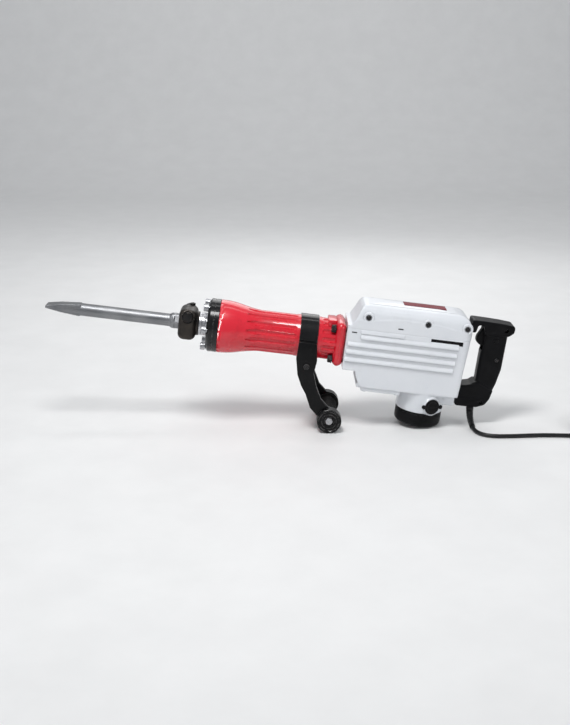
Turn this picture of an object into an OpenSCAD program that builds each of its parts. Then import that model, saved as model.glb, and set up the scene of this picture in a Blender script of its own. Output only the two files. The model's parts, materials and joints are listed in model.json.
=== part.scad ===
// Electric demolition hammer with a 30 mm hexagon chisel, an upright motor at
// the rear, a swivelling side handle, a D-shaped rear handle and a mains cord.
// Each module is drawn in the tool's own frame: X along the barrel axis with the
// chisel at -X, Z up, and the axis at Y = 0, Z = 0. stand() tips the finished
// tool onto its side grip and tail cover, nose up, on the plane Z = 0.

/* [Stance] */
// Nose-up tilt when the tool stands on its side grip and tail cover
tilt = 7; // [6:0.5:8]

/* [Chisel] */
// Distance from the front cover's middle to the chisel's edge
chisel_reach = 360; // [340:5:380]
// Radius of the chisel's round body
chisel_r = 13.5; // [12:0.5:14]
// Width across the flats of the hexagon shank
hex_af = 30; // [28:1:30]
// Width of the cutting edge
edge_w = 30; // [26:1:34]

/* [Barrel] */
// Radius of the barrel at its front end
barrel_front_r = 56.5; // [55:0.5:58]
// Radius of the barrel at its waist
barrel_waist_r = 44; // [43.5:0.5:46]
// Half of the barrel flange's width and height
flange_half = 48; // [47:0.5:50]
// Radius of the front cover
cover_r = 57; // [56.5:0.5:60]

/* [Housing] */
// Half of the housing's width
body_half = 51.5; // [50:0.5:54]
// Height of the roof's crown above the barrel axis
roof_z = 96.5; // [95:0.5:99]
// Place of the motor axis along the tool
motor_x = 458; // [457:1:459]
// Outside radius of the motor housing
motor_r = 51; // [50:0.5:52]

/* [Side handle] */
// Width of the strap along the barrel
strap_w = 39; // [34:1:40]
// Radius of the side handle's end discs
disc_r = 26.5; // [24:0.5:28]
// Radius of the side grip
grip_r = 20; // [18:0.5:22]

/* [Cord] */
// Diameter of the mains cord
cord_d = 8.5; // [8:0.5:8.5]

/* [Hidden] */
$fn = 48;

// Running and standing gaps
run_gap = 0.05;
free_gap = 0.3;

// Front end
tip_x = -chisel_reach;
shank_end = 40;
hex_start = -96;
nose_x0 = -78;
nose_x1 = -40;
nose_half = 33;
neck_r = 24.5;
cover_x0 = -17.5;
cover_x1 = 7;
cover_bolt_circle = 48.5;
retainer_x = -59;
retainer_z = 18;
retainer_r = 11.5;
chisel_play = 25;

// Barrel
flange_x0 = 252;
flange_x1 = 275;
barrel_bore = 37;
strap_x = 197.5;
strap_seat_r = 45;
flute_count = 16;
flange_bolt_y = 36;
flange_bolt_z = 33;

// Impact train, at the rear dead centre of the crank
cyl_bore = 33;
crank_throw = 16;
crank_x = 346;
rod_length = 95;
wrist_x = crank_x + crank_throw - rod_length;
piston_face = wrist_x - 53;
piston_end = 292;
guide_x0 = 65;
guide_x1 = 112;

// Gear train, all on upright axes
pinion_teeth = 16;
crank_teeth = 42;
motor_teeth = 12;
first_teeth = 60;
pressure = 25;
mod_crank = 2;
mod_first = 1.5;
counter_x = crank_x + mod_crank * (pinion_teeth + crank_teeth) / 2;
plate_z0 = 20;
plate_z1 = 38;

// Housing
split_z = 40;
spigot_r = 38.5;
top_screw_x = [316, 441, 524];
top_screw_z = 68;
wall = 4;
tail_z = -128;
tail_low = -159;
tail_r = 50;
tail_round = 5;
brush_angle = 22;
brush_z = -110;

// D-shaped rear handle
grip_half = 17.5;
arm_half = 24;

// Where the tool touches the floor: the tail cover's rear edge sets the height,
// and the side handle reaches exactly as low
floor_drop = (motor_x + tail_r - tail_round) * sin(tilt)
    + (-tail_low - tail_round) * cos(tilt) + tail_round;
disc_x = 262.5;
disc_z = -(floor_drop - disc_r - disc_x * sin(tilt)) / cos(tilt);
handle_rear = [632, 70];
handle_top = [
    [538.5, 84], [598, 81], [622, 76], [handle_rear[0], handle_rear[1]], [628, 62],
    [619, 54], [567, 54], [567, 70], [562, 74], [552, 74], [549, 56], [538.5, 56]
];
handle_grip = [[567, 60], [619.5, 60], [619, -20], [606, -80], [565, -80], [567, -52]];
handle_low = [
    [530.5, -62], [546, -61], [558, -58], [566, -50], [608, -66], [602, -92], [595, -102],
    [577, -109], [530.5, -110]
];
handle_screw_at = [[612, 68], [604, 0], [585, -96]];
front_end = tip_x * cos(tilt) - 1.5 * sin(tilt);
rear_end = handle_rear[0] * cos(tilt) + handle_rear[1] * sin(tilt);
shift_x = -(front_end + rear_end) / 2;

// One arm of the side handle, seen from the side
arm_outline = [
    [strap_x - 19, 2], [strap_x - 21, -36], [strap_x - 14, -70], [206, -111], [219, -140],
    [disc_x - 25, disc_z + 4], [disc_x, disc_z - 20], [disc_x + 20, disc_z + 14],
    [240, -118], [227, -92], [217, -64], [221, -36], [strap_x + 19, 2]
];

// Mains cord, in the frame of the floor: the guard and the run to the coil
cord_r = cord_d / 2;
guard_points = [
    [413, 0, 48], [411.8, 0, 38], [411, -4, 28], [410.3, -13, 19.5], [410, -26, 13],
    [410, -40, 9], [410.5, -53, 7]
];
run_points = [
    [410.5, -53, 7], [411.5, -62, 5.8], [415, -73, 5], [421, -83, 4.6], [430, -91, 4.5],
    [441, -96, 4.5], [454, -98, 4.5], [470, -98, 4.5], [490, -97, 4.5], [510, -95, 4.5],
    [530, -93, 4.5], [550, -92, 4.5], [570, -92, 4.5], [590, -93, 4.5], [610, -95, 4.7],
    [630, -96.5, 5], [650, -97, 5.5], [672, -97, 5.9], [692, -97, 6]
];
coil_at = [692, -37.4, 6];
coil_mid = [42.4, 51, 59.6];
row_step = 8.6;
tie_angle = 65;
plug_x = coil_at[0] + coil_mid[2];
plug_y0 = -2;
plug_z = 18.5;
pin_root_r = 2;
// The last part of a turn lies on top of the coil and leads to the plug
top_turn = [for (a = [80:10:360]) [
    coil_at[0] + coil_mid[2] * cos(a), coil_at[1] + coil_mid[2] * sin(a),
    coil_at[2] + row_step * (1 + (1 - cos(180 * min(1, (a - 80) / 40))) / 2)
]];
tail_points = concat(top_turn, [
    [plug_x, -28, 23], [plug_x, -18, 21.5], [plug_x, -8, 19.3], [plug_x, plug_y0 + 1, 18.6]
]);

// ---------------------------------------------------------------- helpers

// Puts the tool on the floor, nose up
module stand() {
    translate([shift_x, 0, floor_drop]) rotate([0, tilt, 0]) children();
}

// Cylinder along X from x0 to x1
module rod_x(x0, x1, r) {
    translate([x0, 0, 0]) rotate([0, 90, 0]) cylinder(h = x1 - x0, r = r);
}

// Ring along X from x0 to x1
module ring_x(x0, x1, r_in, r_out) {
    difference() {
        rod_x(x0, x1, r_out);
        rod_x(x0 - 1, x1 + 1, r_in);
    }
}

// Upright cylinder from z0 to z1
module rod_z(x, y, z0, z1, r) {
    translate([x, y, z0]) cylinder(h = z1 - z0, r = r);
}

// Upright ring from z0 to z1
module ring_z(x, z0, z1, r_in, r_out) {
    difference() {
        rod_z(x, 0, z0, z1, r_out);
        rod_z(x, 0, z0 - 1, z1 + 1, r_in);
    }
}

// Cylinder along Y from y0 to y1
module rod_y(x, z, y0, y1, r) {
    translate([x, y1, z]) rotate([90, 0, 0]) cylinder(h = y1 - y0, r = r);
}

// Box between two corners
module block(low, high) {
    translate(low) cube(high - low);
}

// Hexagon bar along X with flats up and down
module hex_x(x0, x1, af) {
    translate([x0, 0, 0]) rotate([0, 90, 0]) rotate([0, 0, 30])
        cylinder(h = x1 - x0, r = af / 2 / cos(30), $fn = 6);
}

// Side outline drawn in X and Z, spread over Y from y0 to y1
module side_plate(outline, y0, y1) {
    translate([0, y1, 0]) rotate([90, 0, 0]) linear_extrude(y1 - y0) polygon(outline);
}

// Rounded rectangle, centred, with true arcs
module rounded(w, h, r) {
    square([w - 2 * r, h], center = true);
    square([w, h - 2 * r], center = true);
    for (sx = [-1, 1], sy = [-1, 1])
        translate([sx * (w / 2 - r), sy * (h / 2 - r)]) circle(r);
}

// Rounded rectangle across the barrel axis, from x0 to x1
module slab_x(x0, x1, w, h, r) {
    translate([x0, 0, 0]) rotate([0, 90, 0]) linear_extrude(x1 - x0) rounded(h, w, r);
}

// Tube swept along a list of points, with a radius for each point
function unit(v) = v / norm(v);
function along(p, i) = unit(p[min(i + 1, len(p) - 1)] - p[max(i - 1, 0)]);
function side_of(t) = abs(t[2]) > 0.9 ? unit(cross(t, [0, 1, 0])) : unit(cross(t, [0, 0, 1]));
function carried(p, i, s) = let (t = along(p, i)) unit(s - t * (s * t));
function frames(p, i = 0, s = undef, out = []) =
    i == len(p) ? out :
    let (n = i == 0 ? side_of(along(p, 0)) : carried(p, i, s)) frames(p, i + 1, n, concat(out, [n]));
module tube(points, radii, sides = 10) {
    n = len(points);
    f = frames(points);
    rings = [for (i = [0:n - 1], k = [0:sides - 1])
        let (t = along(points, i), a = 360 * k / sides)
        points[i] + radii[i] * (cos(a) * f[i] + sin(a) * cross(t, f[i]))];
    walls = [for (i = [0:n - 2], k = [0:sides - 1])
        [i * sides + k, i * sides + (k + 1) % sides,
            (i + 1) * sides + (k + 1) % sides, (i + 1) * sides + k]];
    polyhedron(rings, concat(walls, [[for (k = [sides - 1:-1:0]) k]],
        [[for (k = [0:sides - 1]) (n - 1) * sides + k]]), convexity = 6);
}

// Involute gear outline: chords lie inside the true flank, so teeth never bind
function inv(a) = tan(a) * 180 / PI - a;
function flank(rb, r, half) = r <= rb ? half : half - inv(acos(rb / r));
module gear_outline(teeth, m, slack = 0.2) {
    rp = m * teeth / 2;
    rb = rp * cos(pressure);
    root = rp - 1.15 * m;
    tip = rp + 0.8 * m;
    half = 90 / teeth + inv(pressure) - slack / rp * 180 / PI / 2;
    steps = [for (k = [0:3]) max(rb, root) + (tip - max(rb, root)) * k / 3];
    radii = concat([root], steps);
    outline = [for (t = [0:teeth - 1], s = [-1, 1], k = [0:4])
        let (r = s < 0 ? radii[k] : radii[4 - k], a = t * 360 / teeth + s * flank(rb, r, half))
        r * [cos(a), sin(a)]];
    polygon(outline);
}
module gear(x, z0, z1, teeth, m, turn) {
    translate([x, 0, z0]) rotate([0, 0, turn]) linear_extrude(z1 - z0) gear_outline(teeth, m);
}

// ---------------------------------------------------------------- chisel and nose

module chisel() {
    steel = [0.52, 0.54, 0.56];
    blade_x = tip_x + 85;
    side = [
        [tip_x, -1.5], [tip_x, 1.5], [tip_x + 30, 7], [blade_x - 8, 13.2],
        [blade_x + 6, 20], [shank_end, 20], [shank_end, -20], [blade_x + 6, -20],
        [blade_x - 8, -13.2], [tip_x + 30, -7]
    ];
    color(steel) stand() difference() {
        union() {
            intersection() {
                rod_x(tip_x + 20, hex_start + 2, chisel_r);
                side_plate(side, -25, 25);
            }
            intersection() {
                side_plate(side, -edge_w / 2, edge_w / 2);
                linear_extrude(40, center = true) polygon([
                    [tip_x, -edge_w / 2], [blade_x - 12, -chisel_r + 1.5],
                    [blade_x - 12, chisel_r - 1.5], [tip_x, edge_w / 2]
                ]);
            }
            intersection() {
                hex_x(hex_start, shank_end, hex_af);
                rod_x(hex_start, shank_end, 17);
            }
        }
        block([retainer_x, -20, retainer_z - retainer_r - free_gap],
            [retainer_x + chisel_play, 20, 30]);
        for (x = [retainer_x, retainer_x + chisel_play])
            rod_y(x, retainer_z, -20, 20, retainer_r + free_gap);
    }
}

module nose_block() {
    color([0.2, 0.18, 0.17]) stand() difference() {
        slab_x(nose_x0, nose_x1, 2 * nose_half, 2 * nose_half, 13);
        hex_x(nose_x0 - 1, nose_x1 + 1, hex_af + 1);
        rod_y(retainer_x, retainer_z, -nose_half - 1, nose_half + 1, retainer_r + run_gap);
        rod_z(retainer_x + 5, 24, retainer_z, nose_half + 1, 3.5);
    }
}

// Cross shaft that locks the chisel; half a turn brings its flat over the shank
module retainer_lever() {
    arm = [
        [retainer_x - 11, retainer_z - 4], [retainer_x + 11, retainer_z - 6],
        [retainer_x + 26, retainer_z - 42], [retainer_x + 20, retainer_z - 50],
        [retainer_x + 8, retainer_z - 50], [retainer_x - 2, retainer_z - 42]
    ];
    color([0.1, 0.1, 0.1]) stand() {
        difference() {
            rod_y(retainer_x, retainer_z, -34.5, 36, retainer_r);
            block([retainer_x - 13, -19, retainer_z + 2.4], [retainer_x + 13, 19, 40]);
            rod_y(retainer_x + 9, retainer_z + 9.5, 20, 28, 3.6);
        }
        difference() {
            union() {
                rod_y(retainer_x, retainer_z, 36, 43, 14);
                side_plate(arm, 36, 43);
            }
            rod_y(retainer_x, retainer_z, 40, 44, 4);
        }
    }
}

// Screw plug that holds the spring and ball of the lever's detent
module retainer_spring_plug() {
    color([0.12, 0.12, 0.12]) stand() union() {
        rod_z(retainer_x + 5, 24, nose_half - 3.4, nose_half, 3.4);
        rod_z(retainer_x + 5, 24, nose_half, nose_half + 4, 6);
    }
}

// Bare steel neck and holder with the hexagon socket
module tool_holder() {
    color([0.62, 0.63, 0.65]) stand() difference() {
        union() {
            rod_x(nose_x1, 57, neck_r);
            rod_x(cover_x1 + free_gap, 40, barrel_bore - 0.1);
        }
        hex_x(nose_x1 - 1, 47, hex_af + 0.6);
        rod_x(46, 58, 14 + run_gap);
    }
}

module front_cover() {
    color([0.06, 0.06, 0.07]) stand() difference() {
        rotate([0, 90, 0]) rotate_extrude($fn = 96) polygon([
            [neck_r + 0.1, cover_x0], [cover_r - 6, cover_x0], [cover_r, cover_x0 + 5],
            [cover_r, cover_x1], [neck_r + 0.1, cover_x1]
        ]);
        for (a = [0:60:300]) rotate([a, 0, 0])
            translate([0, cover_bolt_circle, 0]) rod_x(cover_x0 - 1, cover_x1 + 1, 5.2);
    }
}

module front_cover_bolts() {
    color([0.5, 0.52, 0.55]) stand() for (a = [0:60:300]) rotate([a, 0, 0])
        translate([0, cover_bolt_circle, 0]) difference() {
            union() {
                rod_x(cover_x0 - 10, cover_x0, 8);
                rod_x(cover_x0, cover_x1 + 25, 5);
            }
            hex_x(cover_x0 - 11, cover_x0 - 5, 8);
        }
}

// Rubber ring between the front cover and the holder
module front_seal() {
    color([0.08, 0.08, 0.08]) stand() ring_x(cover_x1 + free_gap, 14, 37.2, 43.2);
}

// ---------------------------------------------------------------- barrel

module barrel() {
    bell = [for (k = [0:10]) let (x = 16 + 84 * k / 10)
        [barrel_waist_r + (barrel_front_r - barrel_waist_r) * (1 + cos(18 * k)) / 2, x]];
    color([0.8, 0.05, 0.08]) stand() difference() {
        union() {
            difference() {
                rotate([0, 90, 0]) rotate_extrude($fn = 96) polygon(concat(
                    [[barrel_bore, cover_x1], [barrel_front_r, cover_x1]], bell,
                    [[barrel_waist_r, 170], [strap_seat_r, 174], [strap_seat_r, 221],
                        [barrel_waist_r, 225], [barrel_waist_r, 260], [barrel_bore, 260]]));
                for (k = [0:flute_count - 1]) rotate([(k + 0.5) * 360 / flute_count, 0, 0])
                    translate([0, 0, barrel_waist_r + 3]) {
                        rod_x(78, 172, 6);
                        rod_x(224, 262, 6);
                    }
                for (sy = [-1, 1], sz = [-1, 1])
                    translate([0, sy * flange_bolt_y, sz * flange_bolt_z])
                        rod_x(flange_x0 - 9.5, flange_x0, 10);
            }
            slab_x(flange_x0, flange_x1, 2 * flange_half, 2 * flange_half, 14);
        }
        rod_x(6, flange_x1 + 1, barrel_bore);
        rod_x(6, 14.2, 43.4);
        for (a = [0:60:300]) rotate([a, 0, 0])
            translate([0, cover_bolt_circle, 0]) rod_x(6, 33, 5.05);
        for (sy = [-1, 1], sz = [-1, 1]) translate([0, sy * flange_bolt_y, sz * flange_bolt_z])
            rod_x(flange_x0 - 1, flange_x1 + 1, 5.2);
    }
}

module barrel_flange_bolts() {
    color([0.13, 0.13, 0.14]) stand() for (sy = [-1, 1], sz = [-1, 1])
        translate([0, sy * flange_bolt_y, sz * flange_bolt_z]) {
            hex_x(flange_x0 - 9, flange_x0 - 2, 15);
            rod_x(flange_x0 - 2, flange_x0, 9.5);
            rod_x(flange_x0, flange_x1 + 10, 5);
        }
}

// ---------------------------------------------------------------- impact train

module impact_damper() {
    color([0.75, 0.55, 0.2]) stand() ring_x(57 + 0.1, 63, 14.6, 36);
}

module hammer_guide() {
    color([0.6, 0.6, 0.62]) stand() ring_x(guide_x0, guide_x1, 24 + run_gap, barrel_bore - 0.1);
}

module second_hammer() {
    color([0.55, 0.55, 0.58]) stand() {
        rod_x(53, 77, 14);
        rod_x(76, 104, 24);
    }
}

module striker() {
    color([0.5, 0.5, 0.54]) stand() {
        rod_x(126, 137, 15);
        rod_x(136, 180, cyl_bore - run_gap);
    }
}

module cylinder_tube() {
    color([0.65, 0.66, 0.68]) stand() ring_x(guide_x1 + 0.1, 285, cyl_bore, barrel_bore - 0.2);
}

module piston() {
    color([0.72, 0.72, 0.74]) stand() difference() {
        union() {
            difference() {
                rod_x(piston_face, piston_end, cyl_bore - run_gap);
                rod_x(piston_face + 8, piston_end + 1, 29.5);
                ring_x(piston_face + 2, piston_face + 6, 29.9, cyl_bore + 1);
            }
            intersection() {
                rod_x(piston_face + 1, piston_end, 31);
                union() {
                    rod_z(wrist_x, 0, 9, 32, 12);
                    rod_z(wrist_x, 0, -32, -9, 12);
                }
            }
        }
        rod_z(wrist_x, 0, -32, 32, 7 + run_gap);
    }
}

module piston_ring() {
    color([0.1, 0.1, 0.1]) stand()
        ring_x(piston_face + 2.1, piston_face + 5.9, 30, cyl_bore - run_gap);
}

// The pin's middle is left open, so that the rod can follow the crank
module wrist_pin() {
    color([0.6, 0.6, 0.62]) stand() {
        rod_z(wrist_x, 0, 8.6, 29, 7);
        rod_z(wrist_x, 0, -29, -8.6, 7);
    }
}

module connecting_rod() {
    big_x = crank_x + crank_throw;
    color([0.58, 0.58, 0.6]) stand() difference() {
        union() {
            rod_z(wrist_x, 0, -8, 8, 12);
            rod_z(big_x, 0, -8, 8, 17);
            block([wrist_x, -7, -6], [big_x, 7, 6]);
        }
        rod_z(wrist_x, 0, -9, 9, 7.1);
        rod_z(big_x, 0, -9, 9, 10.5);
    }
}

module big_end_bearing() {
    color([0.7, 0.7, 0.72]) stand() ring_z(crank_x + crank_throw, -7.8, 7.8, 7 + run_gap, 10.45);
}

module crankshaft() {
    color([0.55, 0.55, 0.57]) stand() {
        rod_z(crank_x, 0, 9, 19.5, 30);
        rod_z(crank_x, 0, 19.4, 60, 12.5);
        rod_z(crank_x + crank_throw, 0, -9, 9.1, 7);
    }
}

module crank_gear() {
    color([0.5, 0.5, 0.52]) stand() difference() {
        gear(crank_x, 42, 58, crank_teeth, mod_crank, 0);
        rod_z(crank_x, 0, 41, 59, 12.5 + 0.02);
    }
}

module countershaft() {
    color([0.55, 0.55, 0.57]) stand() {
        rod_z(counter_x, 0, 24, 87, 7.5);
        gear(counter_x, 40.5, 60, pinion_teeth, mod_crank, 180 + 180 / pinion_teeth);
    }
}

module first_gear() {
    color([0.5, 0.5, 0.52]) stand() difference() {
        gear(counter_x, 64, 74, first_teeth, mod_first, 0);
        rod_z(counter_x, 0, 63, 75, 7.52);
    }
}

module bearings() {
    color([0.75, 0.75, 0.78]) stand() {
        ring_z(crank_x, 21, 37, 12.5 + run_gap, 26);
        ring_z(counter_x, 24, 34, 7.5 + run_gap, 16);
        ring_z(counter_x, 77.5, 86.5, 7.5 + run_gap, 14);
        ring_z(motor_x, 24, 35, 6 + run_gap, 16);
        ring_z(motor_x, -150, -139, 6 + run_gap, 13);
    }
}

module bearing_plate() {
    color([0.7, 0.71, 0.72]) stand() difference() {
        block([piston_end + 1.5, -45.8, plate_z0], [501.5, 45.8, plate_z1]);
        for (b = [[crank_x, 26.1], [counter_x, 16.1], [motor_x, 16.1]])
            rod_z(b[0], 0, plate_z0 + 1, plate_z1 + 1, b[1]);
        for (b = [[crank_x, 20], [counter_x, 9], [motor_x, 9]])
            rod_z(b[0], 0, plate_z0 - 1, plate_z1 + 1, b[1]);
    }
}

// ---------------------------------------------------------------- housing

module main_housing() {
    white = [0.9, 0.91, 0.93];
    outer = [
        [flange_x1, split_z], [flange_x1, -50], [303, -50], [306, -62], [313, -77], [321, -84],
        [440, -84], [529, -84], [530, -66], [532, -20], [537, split_z]
    ];
    color(white) stand() difference() {
        union() {
            side_plate(outer, -body_half, body_half);
            rod_z(motor_x, 0, tail_z, -80, motor_r);
            block([motor_x, -26, -110], [528, 26, -82]);
            for (g = [0:3]) for (s = [-1, 1])
                rod_side_ridge(s, 25 - 17 * g, g == 0 ? 307 : 279, 511);
        }
        rod_z(motor_x, 0, tail_z - 1, 60, motor_r - wall);
        block([287, -46, -80], [405, 46, 60]);
        block([404, -46, 19.9], [502, 46, 60]);
        block([506, -44, -78], [525, 44, 60]);
        rod_x(270, 290, spigot_r);
        block([350, -40, -90], [400, 40, -70]);
        for (sy = [-1, 1], sz = [-1, 1]) translate([0, sy * flange_bolt_y, sz * flange_bolt_z])
            rod_x(270, 286.5, 5.05);
        for (s = [0, 180]) translate([motor_x, 0, brush_z]) rotate([0, 0, brush_angle + s])
            rotate([90, 0, 0]) cylinder(h = 60, r = 13.2);
        for (s = [-1, 1]) block([450, s * 49 - 6, 30], [524, s * 49 + 6, 41]);
    }
}

// Half-round ridge along the housing's side
module rod_side_ridge(s, z, x0, x1) {
    translate([0, s * (body_half - 1), z]) rod_x(x0, x1, 3);
}

module top_cover() {
    profile = [
        [275, 40.2], [275, 50], [283, 50], [292, 67], [302, 87], [310, roof_z], [500, roof_z],
        [517, 95], [530, 87], [536, 75], [538, 56], [537.5, 40.2]
    ];
    section = [
        [-51.5, 40.2], [-51.5, 82], [-49, 88], [-43, 92], [0, roof_z], [43, 92], [49, 88],
        [51.5, 82], [51.5, 40.2]
    ];
    inside = [[290, 30], [290, 60], [306, 86], [312, 90], [514, 90], [528, 78], [530, 30]];
    color([0.9, 0.91, 0.93]) stand() difference() {
        intersection() {
            side_plate(profile, -60, 60);
            translate([270, 0, 0]) rotate([90, 0, 90]) linear_extrude(275) polygon(section);
        }
        difference() {
            side_plate(inside, -46.5, 46.5);
            rod_z(counter_x, 0, 76.5, 95, 18);
            for (s = [-1, 1]) for (x = top_screw_x)
                block([x - 6, s * 41.5 - 6.5, top_screw_z - 10], [x + 6, s * 41.5 + 6.5, top_screw_z + 10]);
        }
        rod_z(counter_x, 0, 76, 87, 14.1);
        for (s = [-1, 1]) for (x = top_screw_x) {
            rod_y(x, top_screw_z, s * 50 - 2.5, s * 50 + 2.5, 8);
            rod_y(x, top_screw_z, s * 41 - 7, s * 41 + 7, 2.6);
        }
    }
}

module top_cover_screws() {
    color([0.1, 0.1, 0.11]) stand() for (s = [-1, 1]) for (x = top_screw_x) {
        rod_y(x, top_screw_z, s * 49.25 - 1.75, s * 49.25 + 1.75, 5);
        rod_y(x, top_screw_z, s * 41.5 - 6.05, s * 41.5 + 6.05, 2.5);
    }
}

// Plate that closes the crank chamber from below
module bottom_cover() {
    color([0.9, 0.91, 0.93]) stand() block([321, -49, -93], [405, 49, -84]);
}

// Blank trim plate on the roof
module roof_plate() {
    color([0.35, 0.06, 0.08]) stand() block([390, -15, roof_z], [480, 15, roof_z + 0.8]);
}

// ---------------------------------------------------------------- motor

module armature_shaft() {
    color([0.6, 0.6, 0.62]) stand() {
        rod_z(motor_x, 0, -151, 78, 6);
        gear(motor_x, 62, 76, motor_teeth, mod_first, 180 + 180 / motor_teeth);
    }
}

module armature_core() {
    color([0.45, 0.4, 0.35]) stand() difference() {
        rod_z(motor_x, 0, -92, -30, 25);
        rod_z(motor_x, 0, -93, -29, 6.02);
        for (a = [0:30:330]) translate([motor_x, 0, -93]) rotate([0, 0, a])
            translate([19, -1.2, 0]) cube([8, 2.4, 64]);
    }
}

module commutator() {
    color([0.7, 0.42, 0.25]) stand() difference() {
        rod_z(motor_x, 0, -124, -98, 17);
        rod_z(motor_x, 0, -125, -97, 6.02);
    }
}

module fan() {
    color([0.15, 0.15, 0.16]) stand() difference() {
        union() {
            rod_z(motor_x, 0, -8, -5, 42);
            rod_z(motor_x, 0, -22, -5, 12);
            for (a = [0:36:324]) translate([motor_x, 0, -22]) rotate([0, 0, a])
                translate([10, -1.2, 0]) cube([31, 2.4, 15]);
        }
        rod_z(motor_x, 0, -23, -4, 6.02);
    }
}

module stator() {
    color([0.5, 0.35, 0.25]) stand() difference() {
        rod_z(motor_x, 0, -95, -27, motor_r - wall - 0.2);
        rod_z(motor_x, 0, -96, -26, 26);
        for (s = [-1, 1]) block([motor_x - 26, s * 38 - 12, -96], [motor_x + 26, s * 38 + 12, -26]);
    }
}

// Moves a brush part to its side of the commutator
module brush_side() {
    for (s = [0, 180]) translate([motor_x, 0, brush_z]) rotate([0, 0, brush_angle + s])
        rotate([90, 0, 0]) children();
}

module brush_holders() {
    color([0.3, 0.2, 0.1]) stand() brush_side() difference() {
        translate([0, 0, 20]) cylinder(h = 28, r = 13);
        translate([-5.2, -8.2, 19]) cube([10.4, 16.4, 30]);
    }
}

module carbon_brushes() {
    color([0.2, 0.2, 0.2]) stand() brush_side() {
        translate([-5, -8, 17.1]) cube([10, 16, 18]);
        translate([0, 0, 35]) cylinder(h = 12.8, r = 3.5);
    }
}

module brush_caps() {
    color([0.07, 0.07, 0.07]) stand() brush_side() union() {
        translate([0, 0, 48.2]) cylinder(h = 7.8, r = 13);
        translate([0, 0, 51.5]) cylinder(h = 4.5, r = 16.5);
        for (s = [-1, 1]) translate([s * 20, 0, 51.5]) cylinder(h = 4, r = 4.5);
        translate([-20, -2.5, 51.5]) cube([40, 5, 3.5]);
    }
}

module tail_cover() {
    arc = [for (a = [0:15:90]) [tail_r - tail_round + tail_round * cos(a),
        tail_low + tail_round - tail_round * sin(a)]];
    color([0.07, 0.07, 0.08]) stand() difference() {
        translate([motor_x, 0, 0]) rotate_extrude($fn = 96) polygon(concat(
            [[0, tail_z - 0.2], [tail_r, tail_z - 0.2]], arc, [[0, tail_low]]));
        rod_z(motor_x, 0, -138, -120, motor_r - wall - 4);
        rod_z(motor_x, 0, -152, -120, 13.1);
        for (a = [30:60:330]) translate([motor_x, 0, -165]) rotate([0, 0, a])
            translate([26, -3, 0]) cube([14, 6, 20]);
    }
}

// ---------------------------------------------------------------- rear handle

module handle_solid() {
    side_plate(handle_top, -arm_half, arm_half);
    side_plate(handle_grip, -grip_half, grip_half);
    side_plate(handle_low, -arm_half, arm_half);
}

module handle_half(s) {
    color([0.06, 0.06, 0.06]) stand() difference() {
        intersection() {
            handle_solid();
            if (s < 0) block([500, -40, -150], [700, -0.05, 120]);
            else block([500, 0.05, -150], [700, 40, 120]);
        }
        block([560, -11, 16], [611, 11, 66]);
        block([550, -9, 24], [582, 9, 72]);
        block([572, -11, -100], [598, 11, 20]);
        for (p = handle_screw_at) rod_y(p[0], p[1], -30, 30, 2.3);
        for (p = handle_screw_at) rod_y(p[0], p[1], -30, -grip_half + 3, 4.3);
        rod_y(595, 42, -30, -10, 5.3);
        rod_z(569, 0, -112, -98, 9.8);
    }
}

module handle_left() { handle_half(-1); }
module handle_right() { handle_half(1); }

module handle_screws() {
    color([0.4, 0.4, 0.42]) stand() for (p = handle_screw_at) {
        rod_y(p[0], p[1], -grip_half - 1, -grip_half + 3, 4.2);
        rod_y(p[0], p[1], -grip_half + 2.9, 12, 2.25);
    }
}

module trigger() {
    outline = [
        [565, 68], [560, 58], [554, 40], [556, 33], [563, 27], [570, 25], [573, 30], [573, 68]
    ];
    color([0.06, 0.06, 0.06]) stand() side_plate(outline, -8.5, 8.5);
}

module switch_body() {
    color([0.2, 0.2, 0.2]) stand() block([582, -10.5, 20], [610, 10.5, 60]);
}

module lock_button() {
    color([0.08, 0.08, 0.08]) stand() rod_y(595, 42, -19.5, -14.2, 5);
}

// ---------------------------------------------------------------- side handle

module side_strap() {
    color([0.05, 0.05, 0.06]) stand() difference() {
        union() {
            rod_x(strap_x - strap_w / 2, strap_x + strap_w / 2, 48.5);
            for (s = [-1, 1]) block([strap_x - 17, s * 47 - 1.7, -60], [strap_x + 17, s * 47 + 1.7, 0]);
        }
        rod_x(strap_x - 25, strap_x + 25, strap_seat_r + run_gap);
        for (s = [-1, 1]) rod_y(200, -50, s * 47 - 5, s * 47 + 5, 5.1);
    }
}

module side_arms() {
    color([0.05, 0.05, 0.06]) stand() difference() {
        for (s = [-1, 1]) union() {
            side_plate(arm_outline, min(s * 49, s * 61), max(s * 49, s * 61));
            rod_y(disc_x, disc_z, min(s * 49, s * 72), max(s * 49, s * 72), disc_r);
        }
        rod_y(200, -50, -70, 70, 5.1);
        rod_y(disc_x, disc_z, -80, 80, 5.1);
        for (s = [-1, 1]) rod_y(disc_x, disc_z, s * 71 - 5, s * 71 + 5, 9);
    }
}

module side_grip() {
    color([0.09, 0.09, 0.1]) stand() difference() {
        union() {
            rod_y(disc_x, disc_z, -48.8, 48.8, grip_r);
            for (s = [-1, 1]) rod_y(disc_x, disc_z, s * 46.4 - 2.4, s * 46.4 + 2.4, grip_r + 4);
        }
        rod_y(disc_x, disc_z, -60, 60, 5.1);
    }
}

module side_grip_rod() {
    color([0.45, 0.45, 0.47]) stand() {
        rod_y(disc_x, disc_z, -67, 67, 5);
        for (s = [-1, 1]) rod_y(disc_x, disc_z, s * 69 - 2.9, s * 69 + 2.9, 8.8);
    }
}

module side_screws() {
    color([0.5, 0.5, 0.52]) stand() for (s = [-1, 1]) {
        rod_y(200, -50, min(s * 45.5, s * 61), max(s * 45.5, s * 61), 5);
        rod_y(200, -50, min(s * 61, s * 64), max(s * 61, s * 64), 6.5);
    }
}

// ---------------------------------------------------------------- cord and plug

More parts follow.
